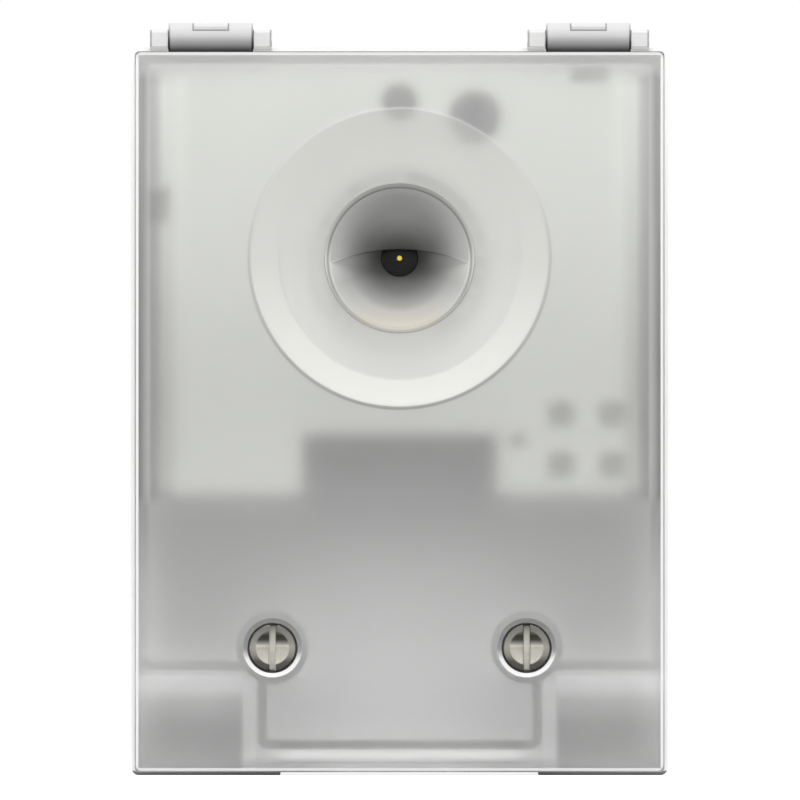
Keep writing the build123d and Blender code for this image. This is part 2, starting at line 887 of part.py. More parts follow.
def make_front_cover():
    cover = block(cover_width, cover_height, seal_depth, cover_depth, corner=cover_corner)
    cover = chamfer(cover.faces().sort_by(Axis.Y)[0].edges(), cover_edge)
    cover -= block(cover_width - 2 * cover_skirt_wall, cover_height - 2 * cover_skirt_wall,
                   seal_depth, cover_inner_depth, corner=cover_corner)
    cover += pillar(seal_band(rib_wall / 2, seal_corner), seal_depth, cover_inner_depth)
    cover += joined(cover_boss(x, z) for x, z in screw_places())
    cover += dish_pad()
    cover += joined(cover_hinge(side) for side in sides)
    cover -= dish_recess()
    cover -= rod(funnel_hole_radius, dish_pad_rear, cover_depth, 0, sensor_z)
    for side in sides:
        span = hinge_spans(side)[0]
        cover -= cross_rod(pin_radius + pin_running_gap, span[0], span[1], hinge_depth, hinge_z)
    for x, z in screw_places():
        cover -= cover_well(x, z)
    return cover


def make_sensor_funnel():
    """Cone that looks out and down: its upper half is a visor that ends above the sensor."""
    body = turned([(0, lens_rear), (funnel_tail_radius, lens_rear),
                   (funnel_back_radius, flange_rear), (flange_radius, flange_rear),
                   (flange_radius, dish_pad_rear), (funnel_radius, dish_pad_rear),
                   (funnel_radius, funnel_front), (0, funnel_front)], 0, sensor_z)
    deep_cone = turned([(0, throat_depth), (throat_radius, throat_depth),
                        (funnel_mouth_radius, funnel_front), (0, funnel_front)], 0, sensor_z)
    visor_cone = turned([(0, visor_depth), (visor_drop, visor_depth),
                         (funnel_mouth_radius, funnel_front), (0, funnel_front)], 0, sensor_z)
    below_visor = rod(visor_bow, throat_depth, funnel_front, 0, sensor_z + visor_drop - visor_bow)
    body -= visor_cone + (deep_cone & below_visor)
    return body - rod(lens_radius + lens_gap, lens_rear, throat_depth, 0, sensor_z)


def make_sensor_lens():
    return rod(lens_radius, lens_rear, throat_depth, 0, sensor_z)


def make_screw_seals():
    """Flat rubber ring under each screw head."""
    inner = neck_radius + screw_hole_gap
    outer = well_radius - clip_fit
    return joined(tube(outer, inner, well_floor_front, head_rear, x, z) for x, z in screw_places())


def make_cover_screw(side):
    """Slotted cheese-head screw with a thin neck that keeps it captive."""
    x = side * screw_x
    head = rod(head_radius, head_rear, head_front, x, screw_z)
    tilt = 3 if side < 0 else 0
    slot = Rectangle(head_slot_width, 2 * head_radius + 1, rotation=tilt)
    head -= pillar(slot, head_front - head_slot_depth, head_front, x, screw_z)
    stem = turned([(0, thread_tip), (thread_radius, thread_tip), (thread_radius, tower_depth),
                   (neck_radius, tower_depth), (neck_radius, head_rear), (0, head_rear)], x, screw_z)
    return head + stem


def make_captive_clip(side):
    """Six-sided clip pushed sideways on the screw neck."""
    x = side * screw_x
    outline = hexagon(clip_half_width) - Circle(neck_radius + clip_fit)
    clip = pillar(outline, clip_rear, clip_rear + clip_thickness, x, screw_z)
    slot_x = (x - clip_slot_width / 2, x + clip_slot_width / 2)
    slot_z = (screw_z - clip_half_width - 1, screw_z)
    return clip - block_between(slot_x, slot_z, clip_rear, clip_rear + clip_thickness)


write("rear_housing", make_rear_housing())
write("housing_gasket", make_housing_gasket())
write("threaded_inserts", make_threaded_inserts())
write("circuit_board", make_circuit_board())
write("relay", make_relay())
write("mains_capacitor", make_mains_capacitor())
write("smoothing_capacitor", make_smoothing_capacitor())
write("varistor", make_varistor())
write("fuse", make_fuse())
write("control_chip", make_control_chip())
write("resistors", make_resistors())
write("terminal_block", make_terminal_block())
write("terminal_cages", make_terminal_cages())
write("loop_terminal", make_loop_terminal())
write("module_cover", make_module_cover())
write("light_sensor", make_light_sensor())
write("sensor_holder", make_sensor_holder())
write("status_led", make_status_led())
write("trimmer_body", make_trimmer_body())
write("threshold_dial", make_threshold_dial())
write("front_cover", make_front_cover())
write("sensor_funnel", make_sensor_funnel())
write("sensor_lens", make_sensor_lens())
write("screw_seals", make_screw_seals())
for side, word in ((-1, "left"), (1, "right")):
    write("hinge_pin_" + word, make_hinge_pin(side))
    write("cable_grommet_" + word, make_cable_grommet(side))
    write("cover_screw_" + word, make_cover_screw(side))
    write("captive_clip_" + word, make_captive_clip(side))
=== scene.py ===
import math

import bmesh
import bpy
from mathutils import Matrix, Vector


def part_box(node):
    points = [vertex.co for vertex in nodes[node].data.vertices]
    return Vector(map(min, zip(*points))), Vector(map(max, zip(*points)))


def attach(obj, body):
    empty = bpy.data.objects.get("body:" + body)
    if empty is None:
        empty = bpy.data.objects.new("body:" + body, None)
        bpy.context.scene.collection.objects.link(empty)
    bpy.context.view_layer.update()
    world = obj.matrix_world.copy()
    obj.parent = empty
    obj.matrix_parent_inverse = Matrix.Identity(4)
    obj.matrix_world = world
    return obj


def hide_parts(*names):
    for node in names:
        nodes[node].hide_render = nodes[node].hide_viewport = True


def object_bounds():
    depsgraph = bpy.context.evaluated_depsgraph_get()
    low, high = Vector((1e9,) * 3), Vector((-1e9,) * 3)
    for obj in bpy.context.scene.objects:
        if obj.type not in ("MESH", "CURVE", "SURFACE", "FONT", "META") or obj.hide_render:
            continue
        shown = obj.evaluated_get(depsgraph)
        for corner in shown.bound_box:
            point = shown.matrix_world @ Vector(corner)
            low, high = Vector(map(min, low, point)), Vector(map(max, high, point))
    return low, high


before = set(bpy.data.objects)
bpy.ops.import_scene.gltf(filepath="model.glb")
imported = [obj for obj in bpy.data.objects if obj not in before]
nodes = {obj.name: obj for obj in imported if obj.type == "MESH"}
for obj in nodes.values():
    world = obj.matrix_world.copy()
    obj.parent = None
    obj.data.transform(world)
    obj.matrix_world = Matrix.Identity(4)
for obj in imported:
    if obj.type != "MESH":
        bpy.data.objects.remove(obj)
cad_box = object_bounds()
MM = 0.001

# Places in the frame that the materials go by, in metres
DISH_Z = 0.0214             # axis of the dish, the funnel and the sensor
HINGE_X = 0.02635           # middle of each hinge, on both sides
WELL_X = 0.0177             # axis of each screw well, on both sides
WELL_Z = -0.0329
COVER_SIDE = 0.03675        # half the width and half the height of the cover's front,
COVER_END = 0.05005         # inside its rounded edge

# Details of the pieces, in millimetres
THREAD_PITCH = 0.7
POLE_PITCH = 5.08
LOOP_ACROSS = 3.65          # openings of the loop terminal, from its middle
LOOP_RISE = 3.5


# Node trees

def new_material(name):
    material = bpy.data.materials.new(name)
    material.use_nodes = True
    tree = material.node_tree
    return material, tree, tree.nodes["Principled BSDF"]


def add(tree, kind, **settings):
    """New shader node; inputs are given by name with spaces as underscores."""
    node = tree.nodes.new("ShaderNode" + kind)
    for key, value in settings.items():
        socket = key.replace("_", " ")
        if socket in node.inputs:
            node.inputs[socket].default_value = value
        else:
            setattr(node, key, value)
    return node


def noise(tree, scale, detail, roughness, stretch=(1, 1, 1)):
    """Noise in the piece's own coordinates, with its scale in features per metre."""
    coords = add(tree, "TexCoord")
    spread = add(tree, "Mapping")
    spread.inputs["Scale"].default_value = stretch
    texture = add(tree, "TexNoise", Scale=scale, Detail=detail, Roughness=roughness)
    tree.links.new(coords.outputs["Object"], spread.inputs["Vector"])
    tree.links.new(spread.outputs["Vector"], texture.inputs["Vector"])
    return texture.outputs["Fac"]


def ramp(tree, value, low, high):
    """Two-colour ramp over the middle range of a noise."""
    node = add(tree, "ValToRGB")
    node.color_ramp.elements[0].position = 0.3
    node.color_ramp.elements[1].position = 0.7
    node.color_ramp.elements[0].color = (*low, 1)
    node.color_ramp.elements[1].color = (*high, 1)
    tree.links.new(value, node.inputs["Fac"])
    return node.outputs["Color"]


def spread_range(tree, value, low, high):
    """Value from 0 to 1, brought to the range from low to high."""
    node = add(tree, "MapRange")
    node.inputs["To Min"].default_value = low
    node.inputs["To Max"].default_value = high
    tree.links.new(value, node.inputs["Value"])
    return node.outputs["Result"]


def curve(tree, value, stops):
    """Grey value through a list of (position, level) stops."""
    node = add(tree, "ValToRGB")
    elements = node.color_ramp.elements
    while len(elements) < len(stops):
        elements.new(0.5)
    for element, (position, level) in zip(elements, stops):
        element.position = position
        element.color = (level, level, level, 1)
    tree.links.new(value, node.inputs["Fac"])
    return node.outputs["Color"]


def math_node(tree, operation, first, second):
    """Math node; each operand is a socket or a number."""
    node = add(tree, "Math", operation=operation)
    for count, operand in enumerate((first, second)):
        if isinstance(operand, (int, float)):
            node.inputs[count].default_value = operand
        else:
            tree.links.new(operand, node.inputs[count])
    return node.outputs["Value"]


def mixed(tree, factor, first, second, blend="MIX"):
    """Colour mix; each operand is a socket, a number or a colour."""
    node = add(tree, "Mix", data_type="RGBA", blend_type=blend)
    for socket, operand in ((node.inputs[0], factor), (node.inputs[6], first), (node.inputs[7], second)):
        if isinstance(operand, (int, float)):
            socket.default_value = operand if socket == node.inputs[0] else (operand, operand, operand, 1)
        elif isinstance(operand, tuple):
            socket.default_value = (*operand, 1)
        else:
            tree.links.new(operand, socket)
    return node.outputs[2]


def own_axes(tree):
    """The piece's own X, Y and Z in metres."""
    coords = add(tree, "TexCoord")
    split = add(tree, "SeparateXYZ")
    tree.links.new(coords.outputs["Object"], split.inputs["Vector"])
    return split.outputs["X"], split.outputs["Y"], split.outputs["Z"]


def share_of(tree, value, start, end):
    """0 at start, 1 at end, clamped."""
    node = add(tree, "MapRange")
    node.inputs["From Min"].default_value = start
    node.inputs["From Max"].default_value = end
    tree.links.new(value, node.inputs["Value"])
    return node.outputs["Result"]


def axis_distance(tree, x, z, middle_z):
    """Distance from the line along Y at height middle_z, and the height above that line."""
    rise = math_node(tree, "SUBTRACT", z, middle_z)
    square = math_node(tree, "ADD", math_node(tree, "MULTIPLY", x, x), math_node(tree, "MULTIPLY", rise, rise))
    return math_node(tree, "POWER", square, 0.5), rise


def product(tree, first, *others):
    """Product of colours or values."""
    for other in others:
        first = mixed(tree, 1.0, first, other, "MULTIPLY")
    return first


def both_of(tree, first, *others):
    """Product of masks."""
    for other in others:
        first = math_node(tree, "MULTIPLY", first, other)
    return first


def any_of(tree, first, *others):
    """Largest of masks."""
    for other in others:
        first = math_node(tree, "MAXIMUM", first, other)
    return first


def away(tree, value, middle=0.0):
    """Distance of a value from its middle."""
    return math_node(tree, "ABSOLUTE", math_node(tree, "SUBTRACT", value, middle), 0.0)


def near_to(tree, value, middle, outer, inner):
    """1 within inner of the middle, 0 beyond outer."""
    return share_of(tree, away(tree, value, middle), outer, inner)


def along(tree, value, start, end, stops):
    """Grey level that follows a value, with stops of (share of the way from start to end, level)."""
    return curve(tree, share_of(tree, value, start, end), stops)


def shaded(tree, color, mask, *factors):
    """Colour that is multiplied by the factors where the mask is 1."""
    return mixed(tree, mask, color, product(tree, color, *factors))


def show_mix(tree, factor, first, second, output="Material Output"):
    """Send a mix of two shaders to the output; factor is a socket or a number."""
    mix = add(tree, "MixShader")
    if isinstance(factor, float):
        mix.inputs["Fac"].default_value = factor
    else:
        tree.links.new(factor, mix.inputs["Fac"])
    tree.links.new(first, mix.inputs[1])
    tree.links.new(second, mix.inputs[2])
    tree.links.new(mix.outputs["Shader"], tree.nodes[output].inputs["Surface"])


def seen_share(tree):
    """1 for what the camera sees, also by way of mirrors and glass."""
    path = add(tree, "LightPath")
    return any_of(tree, path.outputs["Is Camera Ray"], path.outputs["Is Glossy Ray"],
                  path.outputs["Is Transmission Ray"])


def bumped(tree, shader, heights):
    """Chain bump nodes for (height, distance in metres, strength)."""
    last = None
    for height, distance, strength in heights:
        bump = add(tree, "Bump", Distance=distance, Strength=strength)
        tree.links.new(height, bump.inputs["Height"])
        if last:
            tree.links.new(last, bump.inputs["Normal"])
        last = bump.outputs["Normal"]
    tree.links.new(last, shader.inputs["Normal"])


# Materials

def tinted(color, factor):
    return tuple(min(1.0, channel * factor) for channel in color)


def moulded_surface(tree, shader, roughness, grain=4500, grain_depth=0.00001):
    """Fine spark-eroded grain with uneven gloss; returns the slow flow mottling, for the colour."""
    cloud = noise(tree, 60, 3.0, 0.6)
    fine = noise(tree, grain, 2.0, 0.5)
    tree.links.new(spread_range(tree, fine, roughness - 0.06, roughness + 0.06), shader.inputs["Roughness"])
    bumped(tree, shader, [(cloud, 0.00002, 0.3), (fine, grain_depth, 0.5)])
    return cloud


def moulded(name, color, roughness, grain=4500, grain_depth=0.00001, specular=0.5, subsurface=0.0):
    """Moulded plastic of one colour, faintly mottled."""
    material, tree, shader = new_material(name)
    cloud = moulded_surface(tree, shader, roughness, grain, grain_depth)
    tree.links.new(ramp(tree, cloud, tinted(color, 0.97), tinted(color, 1.03)), shader.inputs["Base Color"])
    shader.inputs["Specular IOR Level"].default_value = specular
    shader.inputs["Subsurface Weight"].default_value = subsurface
    shader.inputs["Subsurface Scale"].default_value = 0.002
    return material


def ear_moulding(name):
    """Light moulding of the ear caps, with painted shade on the edge of their free sides."""
    material, tree, shader = new_material(name)
    cloud = moulded_surface(tree, shader, 0.5)
    x, _, _ = own_axes(tree)
    # Painted shade along the outer edge of the free sides
    free_side_painted_shade = share_of(tree, away(tree, away(tree, x), HINGE_X), 0.00818, 0.00826)
    color = ramp(tree, cloud, (0.70, 0.70, 0.70), (0.74, 0.74, 0.74))
    tree.links.new(shaded(tree, color, free_side_painted_shade, 0.55), shader.inputs["Base Color"])
    return material


def rubber(name, color):
    """Soft rubber with a dusty bloom."""
    material, tree, shader = new_material(name)
    cloud = noise(tree, 150, 5.0, 0.7)
    fine = noise(tree, 7000, 2.0, 0.6)
    tree.links.new(ramp(tree, cloud, tinted(color, 0.85), tinted(color, 1.3)), shader.inputs["Base Color"])
    bumped(tree, shader, [(fine, 0.00002, 0.6)])
    shader.inputs["Roughness"].default_value = 0.75
    shader.inputs["Sheen Weight"].default_value = 0.15
    return material


def metal(name, color, roughness, scratch=6000, stretch=(1, 1, 0.04)):
    """Drawn or plated metal with fine streaks along one direction."""
    material, tree, shader = new_material(name)
    streak = noise(tree, scratch, 3.0, 0.6, stretch)
    cloud = noise(tree, 400, 2.0, 0.5)
    tree.links.new(ramp(tree, cloud, tinted(color, 0.93), tinted(color, 1.05)), shader.inputs["Base Color"])
    tree.links.new(spread_range(tree, streak, roughness - 0.08, roughness + 0.12), shader.inputs["Roughness"])
    bumped(tree, shader, [(streak, 0.000008, 0.4)])
    shader.inputs["Metallic"].default_value = 1.0
    return material


def turned_metal(name, tint, roughness, scale):
    """Plated cheese head with tool rings and a painted reflection: a bright slot, a dark upper field and a darker
    lower rim.
    """
    material, tree, shader = new_material(name)
    coords = add(tree, "TexCoord")
    wave = add(tree, "TexWave", wave_type="RINGS", rings_direction="Y", Scale=scale, Distortion=0.6, Detail=2.0)
    tree.links.new(coords.outputs["Object"], wave.inputs["Vector"])
    cloud = noise(tree, 700, 3.0, 0.6)
    x, y, z = own_axes(tree)
    radius, rise = axis_distance(tree, x, z, 0.0)
    # Painted reflection on the front face, by height: dark upper field, darker lower rim, bright slot
    height = share_of(tree, rise, -0.0032, 0.0032)
    field = curve(tree, height, [(0.12, 0.37), (0.3, 0.31), (0.5, 0.26), (0.54, 0.33), (0.6, 0.15), (0.67, 0.035),
                                 (0.76, 0.022), (0.86, 0.08)])
    rim = curve(tree, height, [(0.02, 0.05), (0.2, 0.06), (0.34, 0.16), (0.5, 0.2), (0.66, 0.15), (0.9, 0.11)])
    slot = curve(tree, height, [(0.0, 0.27), (0.5, 0.34), (0.75, 0.25), (0.88, 0.17), (1.0, 0.1)])
    level = mixed(tree, share_of(tree, radius, 0.00226, 0.00242), field, rim)
    level = mixed(tree, near_to(tree, x, 0.0, 0.00050, 0.00036), level, slot)
    level = mixed(tree, share_of(tree, y, -0.0374, -0.0375), 0.25, level)  # only on the front
    color = product(tree, level, ramp(tree, cloud, tinted(tint, 0.9), tinted(tint, 1.1)))
    tree.links.new(color, shader.inputs["Base Color"])
    tree.links.new(spread_range(tree, wave.outputs["Fac"], roughness - 0.06, roughness + 0.08),
                   shader.inputs["Roughness"])
    bumped(tree, shader, [(wave.outputs["Fac"], 0.000005, 0.15), (cloud, 0.00002, 0.2)])
    shader.inputs["Metallic"].default_value = 1.0
    return material


def shaded_funnel(name):
    """Satin cone with painted shade that darkens it towards its throat and under the visor, painted light on its sides
    and a painted dark ring round its mouth; warm at its lower rim.
    """
    material, tree, shader = new_material(name)
    x, y, z = own_axes(tree)
    radius, rise = axis_distance(tree, x, z, DISH_Z)
    reach = share_of(tree, radius, 0.0, 0.0096)
    slope = math_node(tree, "DIVIDE", rise, math_node(tree, "MAXIMUM", radius, 0.0001))
    over = share_of(tree, slope, 0.0, 1.0)
    under = share_of(tree, slope, 0.0, -1.0)
    # Painted shade: levels that darken towards the throat, above under the visor and below on the lower cone
    side_above_painted_shade = curve(tree, reach, [(0.2, 0.05), (0.3, 0.07), (0.4, 0.1), (0.5, 0.127), (0.6, 0.197), (0.7, 0.281),
                                     (0.8, 0.396), (0.9, 0.494), (0.97, 0.542)])
    above = curve(tree, reach, [(0.13, 0.06), (0.2, 0.097), (0.3, 0.136), (0.4, 0.203), (0.5, 0.255), (0.6, 0.3),
                                (0.7, 0.299), (0.8, 0.32), (0.9, 0.34), (0.97, 0.394)])
    side_below_painted_shade = curve(tree, reach, [(0.2, 0.09), (0.3, 0.122), (0.4, 0.175), (0.5, 0.265), (0.6, 0.333),
                                     (0.7, 0.397), (0.8, 0.456), (0.9, 0.526), (0.97, 0.575)])
    below = curve(tree, reach, [(0.2, 0.16), (0.3, 0.247), (0.4, 0.268), (0.5, 0.281), (0.6, 0.345), (0.7, 0.41),
                                (0.8, 0.59), (0.9, 0.635), (0.97, 0.685)])
    upper = mixed(tree, math_node(tree, "POWER", over, 2.0), side_above_painted_shade, above)
    lower = mixed(tree, math_node(tree, "POWER", under, 1.3), side_below_painted_shade, below)
    outer = share_of(tree, reach, 0.35, 0.75)
    at_side = share_of(tree, away(tree, slope), 0.4, 0.0)
    sides = both_of(tree, outer, at_side)
    # Painted light on the sides of the lower cone
    lower = mixed(tree, sides, lower, product(tree, lower, 1.45))
    bow = both_of(tree, x, x, 18.2)  # fall of the visor's edge off its middle
    flat = share_of(tree, radius, 0.0096, 0.0097)
    over_edge = share_of(tree, math_node(tree, "ADD", rise, bow), 0.00098, 0.00118)
    level = mixed(tree, mixed(tree, flat, over_edge, share_of(tree, rise, -0.003, 0.003)), lower, upper)
    # Painted shade on the upper half of the flat rim round the mouth
    level = product(tree, level, mixed(tree, flat, 1.0, curve(tree, over, [(0.0, 1.0), (1.0, 0.75)])))
    # Painted dark ring of shade in the gap round the mouth
    ring, _ = axis_distance(tree, x, z, 0.02115)
    ring = both_of(tree, near_to(tree, ring, 0.01, 0.00028, 0.00006), flat)
    level = product(tree, level, mixed(tree, ring, 1.0, along(tree, rise, -0.01, 0.01,
                                                              [(0.0, 0.75), (0.4, 0.55), (1.0, 0.5)])))
    level = product(tree, level, 0.833)
    warm = share_of(tree, rise, -0.0062, -0.0088)
    tint = mixed(tree, warm, (1.0, 1.0, 0.975), (1.0, 0.95, 0.85))
    # Radius of the cone at this depth; its outer side stays plain
    bowl = math_node(tree, "ADD", math_node(tree, "MULTIPLY", y, -0.7778), -0.0190889)
    inside = share_of(tree, math_node(tree, "SUBTRACT", radius, bowl), 0.0006, 0.0004)
    color = mixed(tree, inside, (0.62, 0.62, 0.595), product(tree, level, tint))
    cloud = noise(tree, 80, 3.0, 0.6)
    color = product(tree, color, ramp(tree, cloud, (0.97, 0.97, 0.97), (1, 1, 1)))
    tree.links.new(color, shader.inputs["Base Color"])
    fine = noise(tree, 4200, 2.0, 0.5)
    tree.links.new(spread_range(tree, fine, 0.42, 0.54), shader.inputs["Roughness"])
    bumped(tree, shader, [(cloud, 0.00002, 0.3), (fine, 0.00001, 0.4)])
    shader.inputs["Specular IOR Level"].default_value = 0.25
    return material


def painted_interior_light_and_shade(tree, color, x, z, side_edge, front):
    """Painted light and shade of what shows blurred through the front: side walls seen end-on, catches and loop
    openings.
    """
    # Painted shade and light in bands where the side walls show through end-on
    walls = along(tree, side_edge, 0.0, 0.008,
                  [(0.045, 1.0), (0.06, 0.55), (0.12, 0.66), (0.165, 0.86), (0.205, 1.0), (0.24, 0.97), (0.262, 0.69),
                   (0.28, 0.62), (0.35, 0.67), (0.42, 0.72), (0.56, 0.77), (0.77, 0.94), (1.0, 1.0)])
    upper_zone = both_of(tree, share_of(tree, z, -0.0135, -0.0115), share_of(tree, z, 0.0478, 0.0462))
    color = shaded(tree, color, upper_zone, walls)
    height = share_of(tree, z, -0.012, 0.048)
    # Painted light and shade on the inner and outer sides of the walls
    inner_painted_light = curve(tree, height, [(0.05, 1.22), (0.2, 1.14), (0.38, 1.2), (0.58, 1.32), (0.7, 1.42), (0.87, 1.55),
                                      (0.95, 1.62), (1.0, 1.35)])
    inner_reach = along(tree, side_edge, 0.0, 0.008,
                        [(0.2, 0.0), (0.24, 0.3), (0.275, 1.0), (0.5, 0.87), (0.55, 0.7), (0.62, 0.52), (0.69, 0.39),
                         (0.76, 0.29), (1.0, 0.04)])
    color = shaded(tree, color, both_of(tree, upper_zone, inner_reach), inner_painted_light)
    outer_painted_light = curve(tree, height, [(0.05, 0.8), (0.2, 0.77), (0.38, 0.86), (0.58, 1.04), (0.7, 1.25), (0.87, 1.48)])
    outer_reach = share_of(tree, side_edge, 0.0011, 0.0005)
    color = shaded(tree, color, both_of(tree, upper_zone, outer_reach), outer_painted_light)
    # Painted shadow along the sides below the module
    below_zone = both_of(tree, share_of(tree, z, -0.025, -0.014), share_of(tree, z, -0.0113, -0.0135),
                         share_of(tree, side_edge, 0.0020, 0.0014))
    color = shaded(tree, color, below_zone, 0.76)
    # Painted shade in the two catches
    left_catch = both_of(tree, near_to(tree, x, -0.0337, 0.0019, 0.0008), near_to(tree, z, 0.0286, 0.0032, 0.0014))
    top_catch = both_of(tree, near_to(tree, x, 0.0264, 0.0032, 0.0018), near_to(tree, z, 0.047, 0.0016, 0.0006))
    color = shaded(tree, color, any_of(tree, left_catch, top_catch), 0.84)
    # Painted shadow of the module, fading downwards
    downwards = along(tree, z, -0.016, -0.036, [(0.0, 0.83), (1.0, 0.96)])
    color = product(tree, color, downwards)
    # Painted shade in the four loop openings
    hole, _ = axis_distance(tree, math_node(tree, "SUBTRACT", away(tree, x, 0.0262), 0.0034),
                            away(tree, z, -0.00385), 0.00365)
    hole_shade = both_of(tree, share_of(tree, hole, 0.0027, 0.0007), front)
    return shaded(tree, color, hole_shade, 0.9)


def barrel_painted_shade(tree, across, z):
    """Painted shade of the dense hinge barrels: darker downwards and at the ends, with a tab outlined in shade."""
    round_shade = along(tree, z, 0.0502, 0.0542,
                        [(0.0, 0.016), (0.08, 0.048), (0.16, 0.138), (0.3, 0.29), (0.55, 0.535), (1.0, 0.72)])
    # Painted line of shade round the tab
    tab = both_of(tree, near_to(tree, across, HINGE_X, 0.00262, 0.00252), share_of(tree, z, 0.05305, 0.05315))
    tab_core = both_of(tree, near_to(tree, across, HINGE_X, 0.00242, 0.00232), share_of(tree, z, 0.05325, 0.05335))
    outline = math_node(tree, "SUBTRACT", tab, tab_core)
    round_shade = shaded(tree, round_shade, outline, 0.45)
    barrel_end = share_of(tree, away(tree, across, HINGE_X), 0.0056, 0.00576)
    end_shade = along(tree, z, 0.0502, 0.0542,
                      [(0.0, 0.05), (0.2, 0.07), (0.4, 0.14), (0.55, 0.27), (0.78, 0.5), (1.0, 0.9)])
    return shaded(tree, round_shade, barrel_end, end_shade)


def frosted(name):
    """Frosted see-through plastic: rough refraction, a milky share and a fine etched grain.

    The dish is milkier, with painted shade on its upper slope and painted light at its foot; the outer edge
    and the lower rims of the screw wells carry painted highlights, and the hinge barrels are dense and carry painted
    shade.
    """
    material, tree, shader = new_material(name)
    fine = noise(tree, 5200, 3.0, 0.6)
    cloud = noise(tree, 35, 3.0, 0.5)
    x, y, z = own_axes(tree)
    across = away(tree, x)
    radius, rise = axis_distance(tree, x, z, DISH_Z)
    front = share_of(tree, y, -0.0366, -0.0370)
    dish = both_of(tree, share_of(tree, radius, 0.02105, 0.02095), front)
    brim_light_and_shade = both_of(tree, share_of(tree, radius, 0.0206, 0.0208), share_of(tree, radius, 0.02125, 0.0211), front)
    barrel = share_of(tree, z, 0.0500, 0.0502)
    side_edge = math_node(tree, "SUBTRACT", COVER_SIDE, across)
    edge_gap = math_node(tree, "MINIMUM", side_edge, math_node(tree, "SUBTRACT", COVER_END, away(tree, z)))
    edge = both_of(tree, share_of(tree, edge_gap, 0.00044, 0.00034), share_of(tree, y, -0.0384, -0.0387))
    well, well_rise = axis_distance(tree, math_node(tree, "SUBTRACT", across, WELL_X), z, WELL_Z)
    well_rim_light_and_shade = both_of(tree, share_of(tree, well, 0.0034, 0.0035), share_of(tree, well, 0.00418, 0.00408),
                       share_of(tree, y, -0.0383, -0.0385))
    lower_rim = both_of(tree, well_rim_light_and_shade, share_of(tree, well_rise, -0.0002, -0.0016))

    color = ramp(tree, cloud, (0.755, 0.76, 0.752), (0.78, 0.785, 0.777))
    # Painted light and shade of the interior that shows through the front
    color = painted_interior_light_and_shade(tree, color, x, z, side_edge, front)
    color = product(tree, color, 1.225)
    top_band = both_of(tree, share_of(tree, z, 0.0460, 0.0484), share_of(tree, z, 0.0500, 0.0497), front)
    foot_band = both_of(tree, share_of(tree, z, -0.0469, -0.0476), share_of(tree, z, -0.0487, -0.0481),
                        share_of(tree, across, 0.0186, 0.0150), front)
    foot_line_painted_shade = any_of(tree, near_to(tree, z, -0.0489, 0.0003, 0.00005), near_to(tree, z, -0.0464, 0.0007, 0.0002))
    foot_line_painted_shade = both_of(tree, foot_line_painted_shade, share_of(tree, across, 0.0186, 0.0162), front)
    fixing = both_of(tree, share_of(tree, across, 0.0216, 0.0224), share_of(tree, z, -0.0366, -0.0370), front)
    fixing_shade = along(tree, z, -0.0366, -0.0490,
                         [(0.0, 1.0), (0.06, 1.0), (0.16, 0.96), (0.3, 0.76), (0.55, 0.67), (1.0, 0.62)])
    fixing_wall_painted_light = both_of(tree, near_to(tree, across, 0.0209, 0.0011, 0.0007),
                          share_of(tree, z, -0.0368, -0.0380), front)
    # Painted light under the top edge, painted dark lines of shade along the foot, and painted light and shade in the
    # fixing pockets and along their wall
    color = shaded(tree, color, top_band, 1.02)
    color = shaded(tree, color, foot_line_painted_shade, 0.8)
    color = shaded(tree, color, fixing, fixing_shade, 1.17)
    color = shaded(tree, color, fixing_wall_painted_light, 1.1)
    # Painted shade on the dish's upper slope and painted light on its lower slope
    slope = along(tree, rise, 0.021, -0.021, [(0.0, 0.675), (0.5, 0.755), (1.0, 1.0)])
    color = mixed(tree, dish, color, product(tree, slope, (1.0, 1.0, 0.975)))
    # Painted shade and highlight on the dish's brim, a painted highlight on the outer edge that is darker at the top,
    # and painted highlights on the lower rims of the screw wells with painted shade on their upper rims
    for mask, level in ((brim_light_and_shade, along(tree, rise, -0.021, 0.021, [(0.0, 0.45), (1.0, 0.85)])),
                        (edge, along(tree, z, 0.0490, 0.0498, [(0.0, 1.0), (1.0, 0.62)])),
                        (well_rim_light_and_shade, along(tree, well_rise, -0.0016, 0.003, [(0.0, 0.9), (1.0, 0.4)]))):
        color = mixed(tree, mask, color, level)
    # Painted shade on the hinge barrels
    color = mixed(tree, barrel, color, barrel_painted_shade(tree, across, z))
    tree.links.new(color, shader.inputs["Base Color"])
    bumped(tree, shader, [(fine, 0.00001, 0.35)])
    clear_share = 0.84
    for mask, loss in ((dish, 0.2), (edge, 0.75), (lower_rim, 0.75), (barrel, 0.82), (top_band, 0.15),
                       (foot_band, 0.2)):
        clear_share = math_node(tree, "SUBTRACT", clear_share, math_node(tree, "MULTIPLY", mask, loss))
    tree.links.new(math_node(tree, "MAXIMUM", clear_share, 0.0), shader.inputs["Transmission Weight"])
    shader.inputs["IOR"].default_value = 1.3
    beside_holes = any_of(tree, share_of(tree, x, 0.0195, 0.0150), share_of(tree, z, -0.0085, -0.0105))
    haze = both_of(tree, share_of(tree, z, 0.014, 0.002), share_of(tree, z, -0.024, -0.013), beside_holes, front, 0.12)
    tree.links.new(math_node(tree, "ADD", spread_range(tree, fine, 0.6, 0.72), haze), shader.inputs["Roughness"])
    clear = add(tree, "BsdfTransparent")
    clear.inputs["Color"].default_value = (0.9, 0.9, 0.9, 1)
    path = add(tree, "LightPath")
    lights_through = any_of(tree, path.outputs["Is Shadow Ray"], path.outputs["Is Diffuse Ray"])
    show_mix(tree, lights_through, shader.outputs["BSDF"], clear.outputs["BSDF"])
    return material


